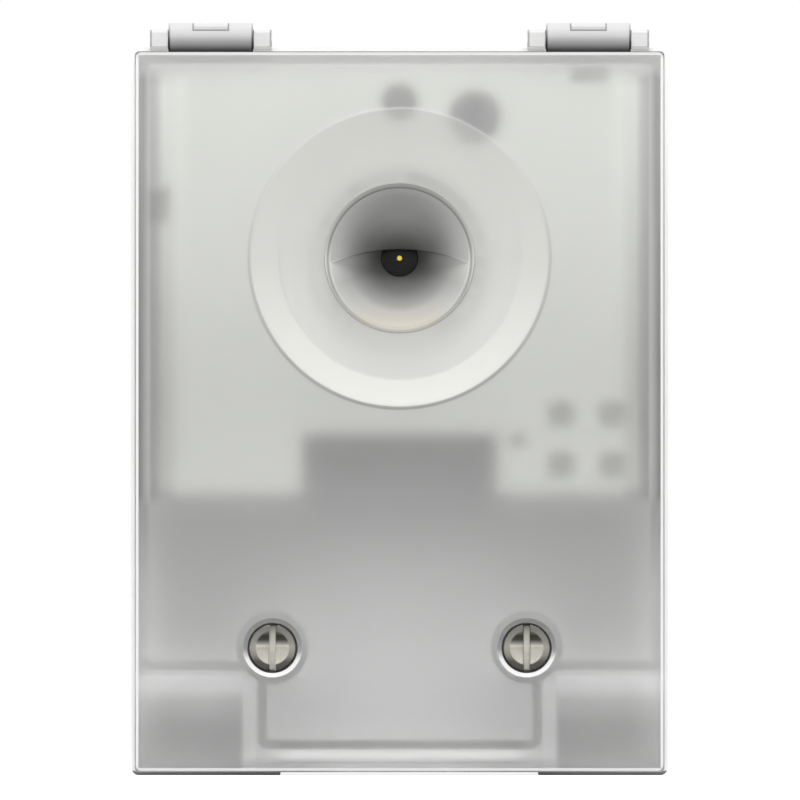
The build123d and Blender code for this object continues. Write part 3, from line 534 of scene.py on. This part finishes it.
def moulded_housing(name):
    """Grey moulding with painted light on its rim, painted light and shade in the wiring space and the pockets, and
    painted shade at the catches and below the foot.
    """
    material, tree, shader = new_material(name)
    cloud = moulded_surface(tree, shader, 0.5)
    x, y, z = own_axes(tree)
    across = away(tree, x)
    inner = share_of(tree, y, -0.0240, -0.0236)
    color = ramp(tree, cloud, (0.765, 0.765, 0.765), (0.795, 0.795, 0.795))
    # Painted light and shade in the wiring space, with the module's shadow at its top
    wiring_light_and_shade = along(tree, z, -0.012, -0.047,
                   [(0.0, 0.7), (0.12, 0.78), (0.25, 0.93), (0.45, 1.03), (0.6, 1.15), (0.8, 1.15), (1.0, 0.95)])
    sideways = along(tree, across, 0.008, 0.036, [(0.0, 1.12), (0.62, 0.82), (0.8, 0.9), (1.0, 1.0)])
    wiring_light_and_shade = product(tree, wiring_light_and_shade, sideways)
    # Painted light and shade in the fixing pockets, darker downwards
    pocket_light_and_shade = along(tree, z, -0.0360, -0.0500,
                   [(0.0, 1.2), (0.08, 1.28), (0.16, 1.28), (0.24, 0.95), (0.34, 0.72), (0.5, 0.56), (1.0, 0.42)])
    in_pocket = both_of(tree, share_of(tree, across, 0.0198, 0.0200), share_of(tree, z, -0.0358, -0.0360))
    shade = mixed(tree, in_pocket, wiring_light_and_shade, pocket_light_and_shade)
    outside = any_of(tree, share_of(tree, across, 0.0368, 0.0370), share_of(tree, away(tree, z), 0.0501, 0.0503),
                     share_of(tree, y, -0.0016, -0.0014))
    low_part = both_of(tree, inner, share_of(tree, z, -0.0113, -0.0120), share_of(tree, outside, 1.0, 0.0))
    color = shaded(tree, color, low_part, shade)
    # Painted shade in the two catches
    left_catch = both_of(tree, near_to(tree, x, -0.0345, 0.0019, 0.0016),
                         near_to(tree, z, 0.0291, 0.0027, 0.0024))
    top_catch = both_of(tree, near_to(tree, x, 0.0262, 0.0026, 0.0023),
                        near_to(tree, z, 0.0482, 0.0016, 0.0013))
    catches = both_of(tree, any_of(tree, left_catch, top_catch), share_of(tree, y, -0.017, -0.018))
    color = mixed(tree, catches, color, 0.32)
    color = shaded(tree, color, outside, 0.88)
    # Painted light on the front of the rim
    rim = share_of(tree, y, -0.0242, -0.0246)
    color = mixed(tree, rim, color, 0.96)
    # Painted shade along the lower edge of the foot
    foot = both_of(tree, rim, share_of(tree, z, -0.05005, -0.05025))
    foot_shade = along(tree, z, -0.0508, -0.0502, [(0.0, 0.05), (0.4, 0.1), (1.0, 0.27)])
    color = mixed(tree, foot, color, foot_shade)
    tree.links.new(color, shader.inputs["Base Color"])
    return material


def moulded_cream(name):
    """Cream moulding with painted light at its top and painted shade lower down."""
    material, tree, shader = new_material(name)
    cloud = moulded_surface(tree, shader, 0.55)
    _, _, z = own_axes(tree)
    # Painted light and shade that change from top to bottom
    fall = along(tree, z, -0.012, 0.048,
                 [(0.0, 0.93), (0.14, 0.86), (0.25, 0.84), (0.4, 0.88), (0.5, 0.93), (0.6, 0.99), (0.75, 1.06),
                  (0.9, 1.12), (1.0, 1.12)])
    color = ramp(tree, cloud, (0.745, 0.755, 0.70), (0.765, 0.775, 0.722))
    tree.links.new(product(tree, color, fall), shader.inputs["Base Color"])
    return material


def clear_lens(name):
    """Coated lens: mostly let through with a grey tint, with a faint reflection."""
    material, tree, shader = new_material(name)
    cloud = noise(tree, 900, 2.0, 0.5)
    tint = ramp(tree, cloud, (0.52, 0.53, 0.54), (0.58, 0.59, 0.60))
    clear = add(tree, "BsdfTransparent")
    tree.links.new(tint, clear.inputs["Color"])
    tree.links.new(spread_range(tree, cloud, 0.04, 0.1), shader.inputs["Roughness"])
    shader.inputs["Base Color"].default_value = (0.1, 0.1, 0.104, 1)
    show_mix(tree, 0.12, clear.outputs["BSDF"], shader.outputs["BSDF"])
    return material


def gilt(name):
    """Gilt chip with a painted glint: it glows so that it shows out of the dark cavity."""
    material, tree, shader = new_material(name)
    cloud = noise(tree, 9000, 2.0, 0.5)
    tree.links.new(ramp(tree, cloud, (0.75, 0.50, 0.06), (0.9, 0.64, 0.12)), shader.inputs["Base Color"])
    # Painted glint: the chip glows though it is no lamp
    tree.links.new(ramp(tree, cloud, (0.75, 0.55, 0.05), (0.9, 0.7, 0.1)), shader.inputs["Emission Color"])
    shader.inputs["Emission Strength"].default_value = 4.0
    shader.inputs["Roughness"].default_value = 0.4
    return material


def circuit_laminate(name):
    """Green solder mask with copper runs that show through as lighter bands."""
    material, tree, shader = new_material(name)
    coords = add(tree, "TexCoord")
    turn = add(tree, "Mapping")
    turn.inputs["Rotation"].default_value = (math.radians(90), 0, 0)
    runs = add(tree, "TexBrick", Scale=130.0, Mortar_Size=0.18)
    runs.inputs["Color1"].default_value = (0.03, 0.16, 0.07, 1)
    runs.inputs["Color2"].default_value = (0.035, 0.2, 0.085, 1)
    runs.inputs["Mortar"].default_value = (0.02, 0.1, 0.045, 1)
    tree.links.new(coords.outputs["Object"], turn.inputs["Vector"])
    tree.links.new(turn.outputs["Vector"], runs.inputs["Vector"])
    tree.links.new(runs.outputs["Color"], shader.inputs["Base Color"])
    weave = noise(tree, 3000, 2.0, 0.5)
    bumped(tree, shader, [(runs.outputs["Fac"], 0.00004, 0.4), (weave, 0.00001, 0.3)])
    shader.inputs["Roughness"].default_value = 0.35
    return material


# Looks of the nodes and of the pieces that replace them

def assign(name, material):
    piece = nodes[name]
    piece.data.materials.clear()
    piece.data.materials.append(material)


looks = {
    "grey": moulded_housing("moulded_grey"),
    "pale": ear_moulding("pale_moulding"),
    "cream": moulded_cream("moulded_cream"),
    "frosted": frosted("frosted_cover"),
    "funnel": shaded_funnel("satin_funnel"),
    "lens": clear_lens("clear_lens"),
    "seal": rubber("black_rubber", (0.03, 0.03, 0.032)),
    "gasket": rubber("milky_silicone", (0.52, 0.52, 0.51)),
    "grommet": rubber("grey_rubber", (0.30, 0.31, 0.32)),
    "brass": metal("brass", (0.72, 0.55, 0.26), 0.3),
    "pin": metal("pin_steel", (0.62, 0.62, 0.61), 0.28, 5000, (0.04, 1, 1)),
    "plated": metal("zinc_plate", (0.66, 0.66, 0.62), 0.34),
    "dull": metal("dark_zinc", (0.16, 0.16, 0.155), 0.42),
    "nickel": turned_metal("turned_nickel", (1.0, 0.93, 0.82), 0.32, 2100),
    "laminate": circuit_laminate("solder_mask"),
    "black": moulded("black_moulding", (0.025, 0.025, 0.026), 0.45),
    "terminal": moulded("terminal_moulding", (0.045, 0.047, 0.05), 0.5),
    "relay": moulded("relay_case", (0.03, 0.03, 0.035), 0.3),
    "film": moulded("film_case", (0.62, 0.45, 0.08), 0.35),
    "sleeve": moulded("shrink_sleeve", (0.03, 0.035, 0.08), 0.25),
    "varistor": moulded("dipped_blue", (0.05, 0.14, 0.36), 0.22),
    "cement": moulded("white_cement", (0.62, 0.60, 0.55), 0.85, 2500, 0.00004),
    "sensor": moulded("dark_epoxy", (0.012, 0.012, 0.013), 0.5, specular=0.1),
    "led": moulded("smoky_epoxy", (0.27, 0.265, 0.26), 0.12),
    "gold": gilt("gilt_chip_painted_glint"),
    "dial": moulded("dial_moulding", (0.135, 0.135, 0.14), 0.45),
    "nylon": moulded("natural_nylon", (0.66, 0.66, 0.62), 0.45, subsurface=0.2),
}
look_of = {
    "rear_housing": "grey", "housing_gasket": "gasket", "threaded_inserts": "brass", "hinge_pin_left": "pin",
    "hinge_pin_right": "pin", "cable_grommet_left": "grommet", "cable_grommet_right": "grommet",
    "circuit_board": "laminate", "relay": "relay", "mains_capacitor": "film",
    "smoothing_capacitor": "sleeve", "varistor": "varistor", "fuse": "black", "control_chip": "black",
    "resistors": "cement", "terminal_block": "terminal", "terminal_cages": "plated",
    "loop_terminal": "terminal", "module_cover": "cream", "light_sensor": "sensor",
    "sensor_holder": "black", "status_led": "led", "trimmer_body": "black", "front_cover": "frosted",
    "sensor_funnel": "funnel", "sensor_lens": "lens", "screw_seals": "seal", "threshold_dial": "dial",
    "captive_clip_left": "nylon", "captive_clip_right": "nylon", "cover_screw_left": "nickel",
    "cover_screw_right": "nickel",
}
for node_name, look in look_of.items():
    assign(node_name, looks[look])


# Mesh helpers: lengths in millimetres, depths in front of the wall

def finished(bm, name, place=(0, 0, 0), sharp=32):
    """Mesh object in metres with smooth faces and sharp edges above an angle."""
    bmesh.ops.remove_doubles(bm, verts=bm.verts, dist=1e-4)
    bmesh.ops.recalc_face_normals(bm, faces=bm.faces)
    limit = math.radians(sharp)
    for edge in bm.edges:
        edge.smooth = len(edge.link_faces) == 2 and edge.calc_face_angle(0) < limit
    for face in bm.faces:
        face.smooth = True
    bm.transform(Matrix.Scale(MM, 4))
    mesh = bpy.data.meshes.new(name)
    bm.to_mesh(mesh)
    bm.free()
    piece = bpy.data.objects.new(name, mesh)
    piece.location = Vector(place) * MM
    bpy.context.scene.collection.objects.link(piece)
    return piece


def rings(bm, profile, segments, up=False, radius_at=None):
    """Revolve (radius, depth) points about the depth axis, or about Z when up is set."""
    rows = []
    for radius, depth in profile:
        row = []
        for step in range(segments):
            angle = 2 * math.pi * step / segments
            reach = radius_at(radius, angle, depth) if radius_at else radius
            across = (reach * math.cos(angle), reach * math.sin(angle))
            spot = (across[0], across[1], depth) if up else (across[0], -depth, across[1])
            row.append(bm.verts.new(spot))
        rows.append(row)
    for lower, upper in zip(rows, rows[1:]):
        for step in range(segments):
            after = (step + 1) % segments
            bm.faces.new((lower[step], lower[after], upper[after], upper[step]))
    for row, radius in ((rows[0], profile[0][0]), (rows[-1], profile[-1][0])):
        if radius > 0:
            bm.faces.new(row)
    return rows


def lathe(name, profile, place=(0, 0, 0), segments=72, up=False, sharp=32):
    """Turned piece from (radius, depth) points."""
    bm = bmesh.new()
    rings(bm, profile, segments, up)
    return finished(bm, name, place, sharp)


def arc(middle, radius, start, end, steps=6):
    """Points of an arc in the (radius, depth) plane, angles in degrees."""
    points = []
    for step in range(steps + 1):
        angle = math.radians(start + (end - start) * step / steps)
        points.append((middle[0] + radius * math.cos(angle), middle[1] + radius * math.sin(angle)))
    return points


def box_mesh(bm, low, high):
    """Add a box between two corners."""
    size = [b - a for a, b in zip(low, high)]
    middle = [(a + b) / 2 for a, b in zip(low, high)]
    matrix = Matrix.Translation(middle) @ Matrix.Diagonal((*size, 1))
    bmesh.ops.create_cube(bm, size=1, matrix=matrix)


def applied(piece):
    """Bake the modifiers of a piece into its mesh."""
    graph = bpy.context.evaluated_depsgraph_get()
    mesh = bpy.data.meshes.new_from_object(piece.evaluated_get(graph))
    piece.modifiers.clear()
    piece.data = mesh
    return piece


def bevelled(piece, width, angle):
    """Round the edges that are sharper than an angle in degrees, and bake all modifiers."""
    edge = piece.modifiers.new("edge", "BEVEL")
    edge.width = width * MM
    edge.segments = 2
    edge.limit_method = "ANGLE"
    edge.angle_limit = math.radians(angle)
    bpy.context.view_layer.update()
    return applied(piece)


def cut_and_bevel(piece, low, high, turn, bevel):
    """Cut a box-shaped slot out of a piece and round the edges a little."""
    bm = bmesh.new()
    box_mesh(bm, low, high)
    cutter = finished(bm, "cutter", piece.location / MM)
    cutter.rotation_euler = (0, math.radians(turn), 0)
    slot = piece.modifiers.new("slot", "BOOLEAN")
    slot.object = cutter
    slot.solver = "EXACT"
    bevelled(piece, bevel, 40)
    bpy.data.objects.remove(cutter)


def dress(piece, body, slot, look, *replaced):
    """Give a piece its look, the body that it rides on and the nodes that it replaces; the slot is not used."""
    piece.data.materials.clear()
    piece.data.materials.append(looks[look])
    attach(piece, body)
    if replaced:
        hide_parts(*replaced)
    return piece


def joined(first, *others):
    """Merge the meshes of other pieces into the first one."""
    bm = bmesh.new()
    bm.from_mesh(first.data)
    for other in others:
        mesh = other.data.copy()
        mesh.transform(first.matrix_basis.inverted() @ other.matrix_basis)
        bm.from_mesh(mesh)
        bpy.data.objects.remove(other)
        bpy.data.meshes.remove(mesh)
    bm.to_mesh(first.data)
    bm.free()
    return first


def corners_of(node):
    """Lower and upper corner of a node in millimetres."""
    return [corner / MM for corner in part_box(node)]


def middle_of(node):
    """X and Z of a node's middle in millimetres."""
    low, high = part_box(node)
    return (low.x + high.x) / 2 / MM, (low.z + high.z) / 2 / MM


def depth_range(node):
    """Rear and front depth of a node in millimetres."""
    low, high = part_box(node)
    return -high.y / MM, -low.y / MM


# Cover screws: turned and slotted heads, necks and threads

def thread(name, place, core, crest, rear, front, pitch):
    """Threaded rod whose radius follows a helix, tapered at its tip."""
    flank, tip_drop, taper = 0.42, 0.35, 0.7
    bm = bmesh.new()
    steps = int((front - rear) / pitch * 8)
    profile = [(core, rear + (front - rear) * step / steps) for step in range(steps + 1)]

    def radius_at(radius, angle, depth):
        phase = (depth / pitch - angle / (2 * math.pi)) % 1
        ridge = max(0.0, 1 - abs(phase - 0.5) / flank)
        grown = radius + (crest - radius) * ridge
        return min(grown, crest - tip_drop + (depth - rear) * taper)

    rings(bm, profile, 48, radius_at=radius_at)
    return finished(bm, name, place, 60)


def cover_screw(word, tilt):
    """Cheese head with a slot, on a neck and a threaded end; tilt turns the slot, in degrees."""
    head_height, half_slot, slot_depth = 2.6, 0.475, 1.1
    thread_length, core, crest, neck_radius = 4.0, 1.55, 1.95, 1.45
    low, high = corners_of("cover_screw_" + word)
    place = ((low.x + high.x) / 2, 0, (low.z + high.z) / 2)
    front = -low.y
    tip = -high.y
    head_radius = (high.x - low.x) / 2
    rear = front - head_height
    profile = [(0, rear), (head_radius - 0.12, rear), (head_radius, rear + 0.12), (head_radius, front - 0.18)]
    profile += arc((head_radius - 0.16, front - 0.18), 0.16, 0, 80, 5)
    profile += [(2.2, front - 0.02), (1.2, front - 0.06), (0, front - 0.08)]
    head = lathe("cover_screw_head_" + word, profile, place, 96)
    cut_and_bevel(head, (-half_slot, -front - 1, -4), (half_slot, -front + slot_depth, 4), tilt, 0.05)
    shoulder = tip + thread_length
    neck = lathe("neck", [(neck_radius, shoulder - 0.3), (neck_radius, rear + 0.2)], place, 48)
    rod = thread("rod", place, core, crest, tip, shoulder, THREAD_PITCH)
    screw = joined(head, neck, rod)
    dress(screw, "screw_" + word, "nickel_screw", "nickel", "cover_screw_" + word)


cover_screw("left", 3)
cover_screw("right", 0)


# Rubber sleeves round the screw heads

def make_sleeve(word):
    """Thin ring from the seal's seat to just below the screw's front."""
    low, high = corners_of("cover_screw_" + word)
    seat_rear, seat_front = depth_range("screw_seals")
    place = ((low.x + high.x) / 2, 0, (low.z + high.z) / 2)
    top = -low.y - 0.5
    profile = [(1.66, seat_rear), (3.46, seat_rear), (3.5, seat_rear + 0.1), (3.5, top - 0.05), (3.46, top),
               (3.33, top), (3.28, top - 0.06), (3.28, seat_front), (1.66, seat_front), (1.66, seat_rear)]
    return lathe("head_sleeve_" + word, profile, place, 96)


sleeves = joined(make_sleeve("left"), make_sleeve("right"))
dress(sleeves, "cover", "seal_rubber", "seal", "screw_seals")


# Sensor, lens and lamp

def make_sensor():
    """Dark domed sensor with a gilt chip that glows as a painted glint, in a collar on a foot."""
    x, z = middle_of("sensor_lens")
    front = depth_range("light_sensor")[1]
    lens_rear = depth_range("sensor_lens")[0]
    board, grip = depth_range("sensor_holder")
    body_radius, flattening = 2.45, 0.66
    seat = grip - 1.0
    dome = front - 1.7
    profile = [(0, seat), (body_radius, seat)]
    profile += [(radius, dome + (depth - dome) * flattening)
                for radius, depth in arc((0, dome), body_radius, 0, 86, 14)]
    profile.append((0, front - 0.08))
    sensor = lathe("photo_sensor", profile, (x, 0, z))
    dress(sensor, "housing", "sensor_plastic", "sensor", "light_sensor")
    chip = lathe("sensor_chip", [(0, front - 0.2), (0.34, front - 0.2), (0.34, front + 0.05), (0.2, front + 0.1),
                                 (0, front + 0.1)], (x, 0, z), 32)
    dress(chip, "housing", "brass", "gold")
    collar = [(2.55, seat), (3.35, seat), (3.35, lens_rear - 0.35), (3.15, lens_rear - 0.15),
              (2.75, lens_rear - 0.15), (2.55, lens_rear - 0.35), (2.55, seat)]
    collar = lathe("sensor_collar", collar, (x, 0, z))
    bm = bmesh.new()
    for step in range(4):
        start = Matrix.Rotation(math.radians(90 * step), 4, "Y")
        before = set(bm.verts)
        box_mesh(bm, (-3.3, -grip + 0.2, 2.5), (3.3, -board, 3.3))
        new = [vert for vert in bm.verts if vert not in before]
        bmesh.ops.transform(bm, matrix=start, verts=new)
    legs = finished(bm, "sensor_foot", (x, 0, z))
    holder = joined(collar, legs)
    dress(holder, "housing", "black_plastic", "black", "sensor_holder")


def make_lens():
    """Plano-convex lens in the throat."""
    x, z = middle_of("sensor_lens")
    rear, front = depth_range("sensor_lens")
    profile = [(0, rear), (3.1, rear), (3.15, rear + 0.06), (3.15, front - 0.5), (3.1, front - 0.44)]
    for step in range(1, 11):
        share = 1 - step / 10
        profile.append((3.1 * share, front - 0.04 - 0.4 * share * share))
    lens = lathe("throat_lens", profile, (x, 0, z))
    dress(lens, "cover", "lens_plastic", "lens", "sensor_lens")


def make_led():
    """Small domed lamp with a rim."""
    x, z = middle_of("status_led")
    front = depth_range("status_led")[1]
    seat = front - 5.0
    profile = [(0, seat), (1.78, seat), (1.85, seat + 0.07), (1.85, seat + 0.75), (1.5, seat + 0.8)]
    profile += arc((0, front - 1.5), 1.5, 0, 85, 10)
    profile.append((0, front))
    lamp = lathe("signal_lamp", profile, (x, 0, z), 48)
    dress(lamp, "housing", "led_plastic", "led", "status_led")


make_sensor()
make_lens()
make_led()


# Terminal screws in the bays of both terminals

def terminal_screw(name, radius, length, front, x, z, turn):
    """Slotted screw, narrower below its head."""
    rear = front - length
    profile = [(0, rear), (radius * 0.7, rear), (radius * 0.7, front - 2.0), (radius, front - 2.0)]
    profile += arc((radius - 0.3, front - 0.3), 0.3, 0, 80, 4)
    profile += [(radius * 0.5, front - 0.03), (0, front - 0.05)]
    screw = lathe(name, profile, (x, 0, z), 48)
    cut_and_bevel(screw, (-0.35, -front - 1, -3), (0.35, -front + 0.9, 3), turn, 0.03)
    dress(screw, "housing", "plated_steel", "dull")


def terminal_screws():
    """Five poles of the terminal block and four of the loop terminal."""
    low, high = corners_of("terminal_block")
    front = -low.y - 1.5
    z = (low.z + high.z + 1.0) / 2
    for pole in range(5):
        terminal_screw("terminal_screw_%d" % pole, 1.8, 4.8, front, (pole - 2) * POLE_PITCH, z, 25 * pole - 40)
    x, z = middle_of("loop_terminal")
    front = depth_range("loop_terminal")[1] - 1.2
    for count, (across, rise) in enumerate(((-1, -1), (-1, 1), (1, -1), (1, 1))):
        terminal_screw("loop_screw_%d" % count, 1.5, 3.8, front, x + across * LOOP_ACROSS, z + rise * LOOP_RISE,
                       60 * count - 20)


terminal_screws()


# Cable grommets with ribs, a lip and a pierceable dome

def make_grommet(word):
    """Turned about the vertical, from the middle of its underside out and back over its top."""
    low, high = corners_of("cable_grommet_" + word)
    x = (low.x + high.x) / 2
    y = (low.y + high.y) / 2
    flange = (high.x - low.x) / 2
    bottom = low.z
    wall = bottom + 1.5
    top = high.z
    profile = [(0, bottom + 1.9), (1.6, bottom + 1.75), (1.7, bottom + 1.3), (2.9, bottom + 1.1), (3.0, bottom + 0.7),
               (4.2, bottom + 0.5), (4.5, bottom + 0.1), (4.7, bottom),
               (flange - 0.3, bottom), (flange, bottom + 0.3), (flange, wall - 0.1), (flange - 0.1, wall),
                (6.0, wall), (5.9, wall + 0.2), (5.9, top - 1.2), (6.0, top - 0.9), (6.0, top - 0.4),
                (5.7, top), (4.6, top), (4.4, top - 0.3), (4.2, bottom + 1.4), (3.0, bottom + 1.7),
                (1.7, bottom + 2.3), (0, bottom + 2.6)]
    grommet = lathe("grommet_" + word, profile, (x, y, 0), 72, up=True)
    dress(grommet, "housing", "grommet_rubber", "grommet", "cable_grommet_" + word)


make_grommet("left")
make_grommet("right")


# Electrolytic can with a rolled shoulder, a sleeve edge and a cross vent

def make_can():
    """Turned can with two crossed grooves in its top."""
    x, z = middle_of("smoothing_capacitor")
    rear, front = depth_range("smoothing_capacitor")
    profile = [(0, rear + 0.1), (4.6, rear + 0.1), (4.9, rear + 0.4), (4.95, rear + 1.6), (4.7, rear + 2.0),
               (4.7, rear + 2.4), (5.0, rear + 2.8), (5.0, front - 0.9)]
    profile += arc((4.3, front - 0.8), 0.7, 0, 90, 6)
    profile += [(4.0, front - 0.1), (3.9, front - 0.25), (0, front - 0.25)]
    can = lathe("filter_can", profile, (x, 0, z))
    for turn in (45, 135):
        cut_and_bevel(can, (-0.15, -front - 1, -3), (0.15, -front + 0.4, 3), turn, 0.02)
    dress(can, "housing", "capacitor_sleeve", "sleeve", "smoothing_capacitor")


make_can()


# Flat-fronted caps on the hinge ears, and dark washers beside the barrels that also serve as painted shade in the gaps

def prism(name, outline, x_from, x_to, place):
    """Extrusion along X of a (depth, rise) outline."""
    bm = bmesh.new()
    ends = []
    for x in (x_from, x_to):
        ends.append([bm.verts.new((x, -depth, rise)) for depth, rise in outline])
    for row in ends:
        bm.faces.new(row)
    for step in range(len(outline)):
        after = (step + 1) % len(outline)
        bm.faces.new((ends[0][step], ends[0][after], ends[1][after], ends[1][step]))
    return finished(bm, name, place, 20)


def hinge_trim():
    """Caps and washers at both ends of both hinges, on the axis of the pins; the black washers also serve as painted
    shade in the gaps.
    """
    axis_y, axis_z = -26.7, 51.9
    ear_from, ear_width, inset = 6.0, 2.5, 0.02
    inner, outer, thick, gap = 0.8, 1.36, 0.085, 0.0075
    outline = [(1.42, -1.0), (1.42, 0.98), (1.36, 1.12), (1.1, 1.37), (-0.9, 1.37), (-0.9, -1.0)]
    washer_profile = [(inner, 0.0), (outer, 0.0), (outer, thick), (inner, thick), (inner, 0.0)]
    caps = []
    washers = []
    for side in (-1, 1):
        for end in (-1, 1):
            near = side * HINGE_X / MM + end * ear_from
            far = near + end * ear_width
            cap = prism("ear_cap", outline, min(near, far) + inset, max(near, far) - inset, (0, axis_y, axis_z))
            caps.append(bevelled(cap, 0.07, 30))
            washer = lathe("washer", washer_profile, (0, 0, 0), 40, up=True)
            washer.data.transform(Matrix.Rotation(math.radians(90), 4, "Y"))
            start = near - thick - gap if end > 0 else near + gap
            washer.location = Vector((start, axis_y, axis_z)) * MM
            washers.append(washer)
    bpy.context.view_layer.update()
    dress(joined(*caps), "housing", "grey_plastic", "pale")
    # The black washers also serve as painted shade in the gaps beside the barrels
    dress(joined(*washers), "housing", "black_plastic", "black")


hinge_trim()


# Round bushes behind the four openings over the loop terminal

def screwdriver_guides():
    """Four bushes in one piece."""
    x, z = middle_of("loop_terminal")
    front = depth_range("module_cover")[1]
    pieces = []
    for across in (-1, 1):
        for rise in (-1, 1):
            profile = [(1.75, front - 2.4), (3.0, front - 2.4), (3.0, front - 1.5), (1.95, front - 1.5),
                       (1.75, front - 1.7), (1.75, front - 2.4)]
            pieces.append(lathe("guide", profile, (x + across * LOOP_ACROSS, 0, z + rise * LOOP_RISE), 48))
    dress(joined(*pieces), "housing", "cream_plastic", "cream")


screwdriver_guides()


# Stage, light and camera

def make_floor():
    """Pale floor under the part that looks as white as the backdrop and keeps the shadow."""
    mesh = bpy.data.meshes.new("floor")
    low = cad_box[0][2]
    reach = 6
    corners = [(-reach, -reach, low), (reach, -reach, low), (reach, reach, low), (-reach, reach, low)]
    mesh.from_pydata(corners, [], [(0, 1, 2, 3)])
    floor = bpy.data.objects.new("floor", mesh)
    bpy.context.scene.collection.objects.link(floor)
    material, tree, shader = new_material("pale_floor")
    shader.inputs["Base Color"].default_value = (0.85, 0.85, 0.85, 1)
    shader.inputs["Roughness"].default_value = 0.9
    glow = add(tree, "Emission", Strength=0.8)
    both = add(tree, "AddShader")
    tree.links.new(shader.outputs["BSDF"], both.inputs[0])
    tree.links.new(glow.outputs["Emission"], both.inputs[1])
    show_mix(tree, seen_share(tree), shader.outputs["BSDF"], both.outputs["Shader"])
    mesh.materials.append(material)


def make_world(ambient):
    """White backdrop where it is seen, and softer light from all around on the part."""
    world = bpy.data.worlds.new("studio")
    bpy.context.scene.world = world
    world.use_nodes = True
    tree = world.node_tree
    seen = tree.nodes["Background"]
    seen.inputs["Color"].default_value = (1, 1, 1, 1)
    seen.inputs["Strength"].default_value = 1.0
    soft = add(tree, "Background")
    soft.inputs["Color"].default_value = (1, 1, 1, 1)
    soft.inputs["Strength"].default_value = ambient
    show_mix(tree, seen_share(tree), soft.outputs["Background"], seen.outputs["Background"], "World Output")


def make_lamp(name, place, size, energy):
    """Rectangular lamp that points at the origin."""
    data = bpy.data.lights.new(name, "AREA")
    data.shape = "RECTANGLE"
    data.size, data.size_y = size
    data.energy = energy
    lamp = bpy.data.objects.new(name, data)
    bpy.context.scene.collection.objects.link(lamp)
    lamp.location = place
    lamp.rotation_euler = (Vector((0, 0, 0)) - Vector(place)).to_track_quat("-Z", "Y").to_euler()


def make_camera():
    """Square to the front from far away, at the height that gives the photograph's frame."""
    middle_depth, distance = 0.025, 4.6554
    data = bpy.data.cameras.new("camera")
    data.lens = 1500
    data.sensor_width = 36
    data.clip_end = 100
    camera = bpy.data.objects.new("camera", data)
    bpy.context.scene.collection.objects.link(camera)
    camera.location = (0.00006, -(middle_depth + distance), 0.0016)
    camera.rotation_euler = (math.radians(90), 0, 0)
    bpy.context.scene.camera = camera


make_floor()
make_world(0.4)
make_lamp("key_lamp", (0.0, -0.55, 1.0), (0.8, 0.5), 9.6)
make_lamp("fill_lamp", (0.0, -1.4, 0.35), (1.2, 0.8), 3.6)
make_camera()
bpy.context.scene.view_settings.view_transform = "Standard"
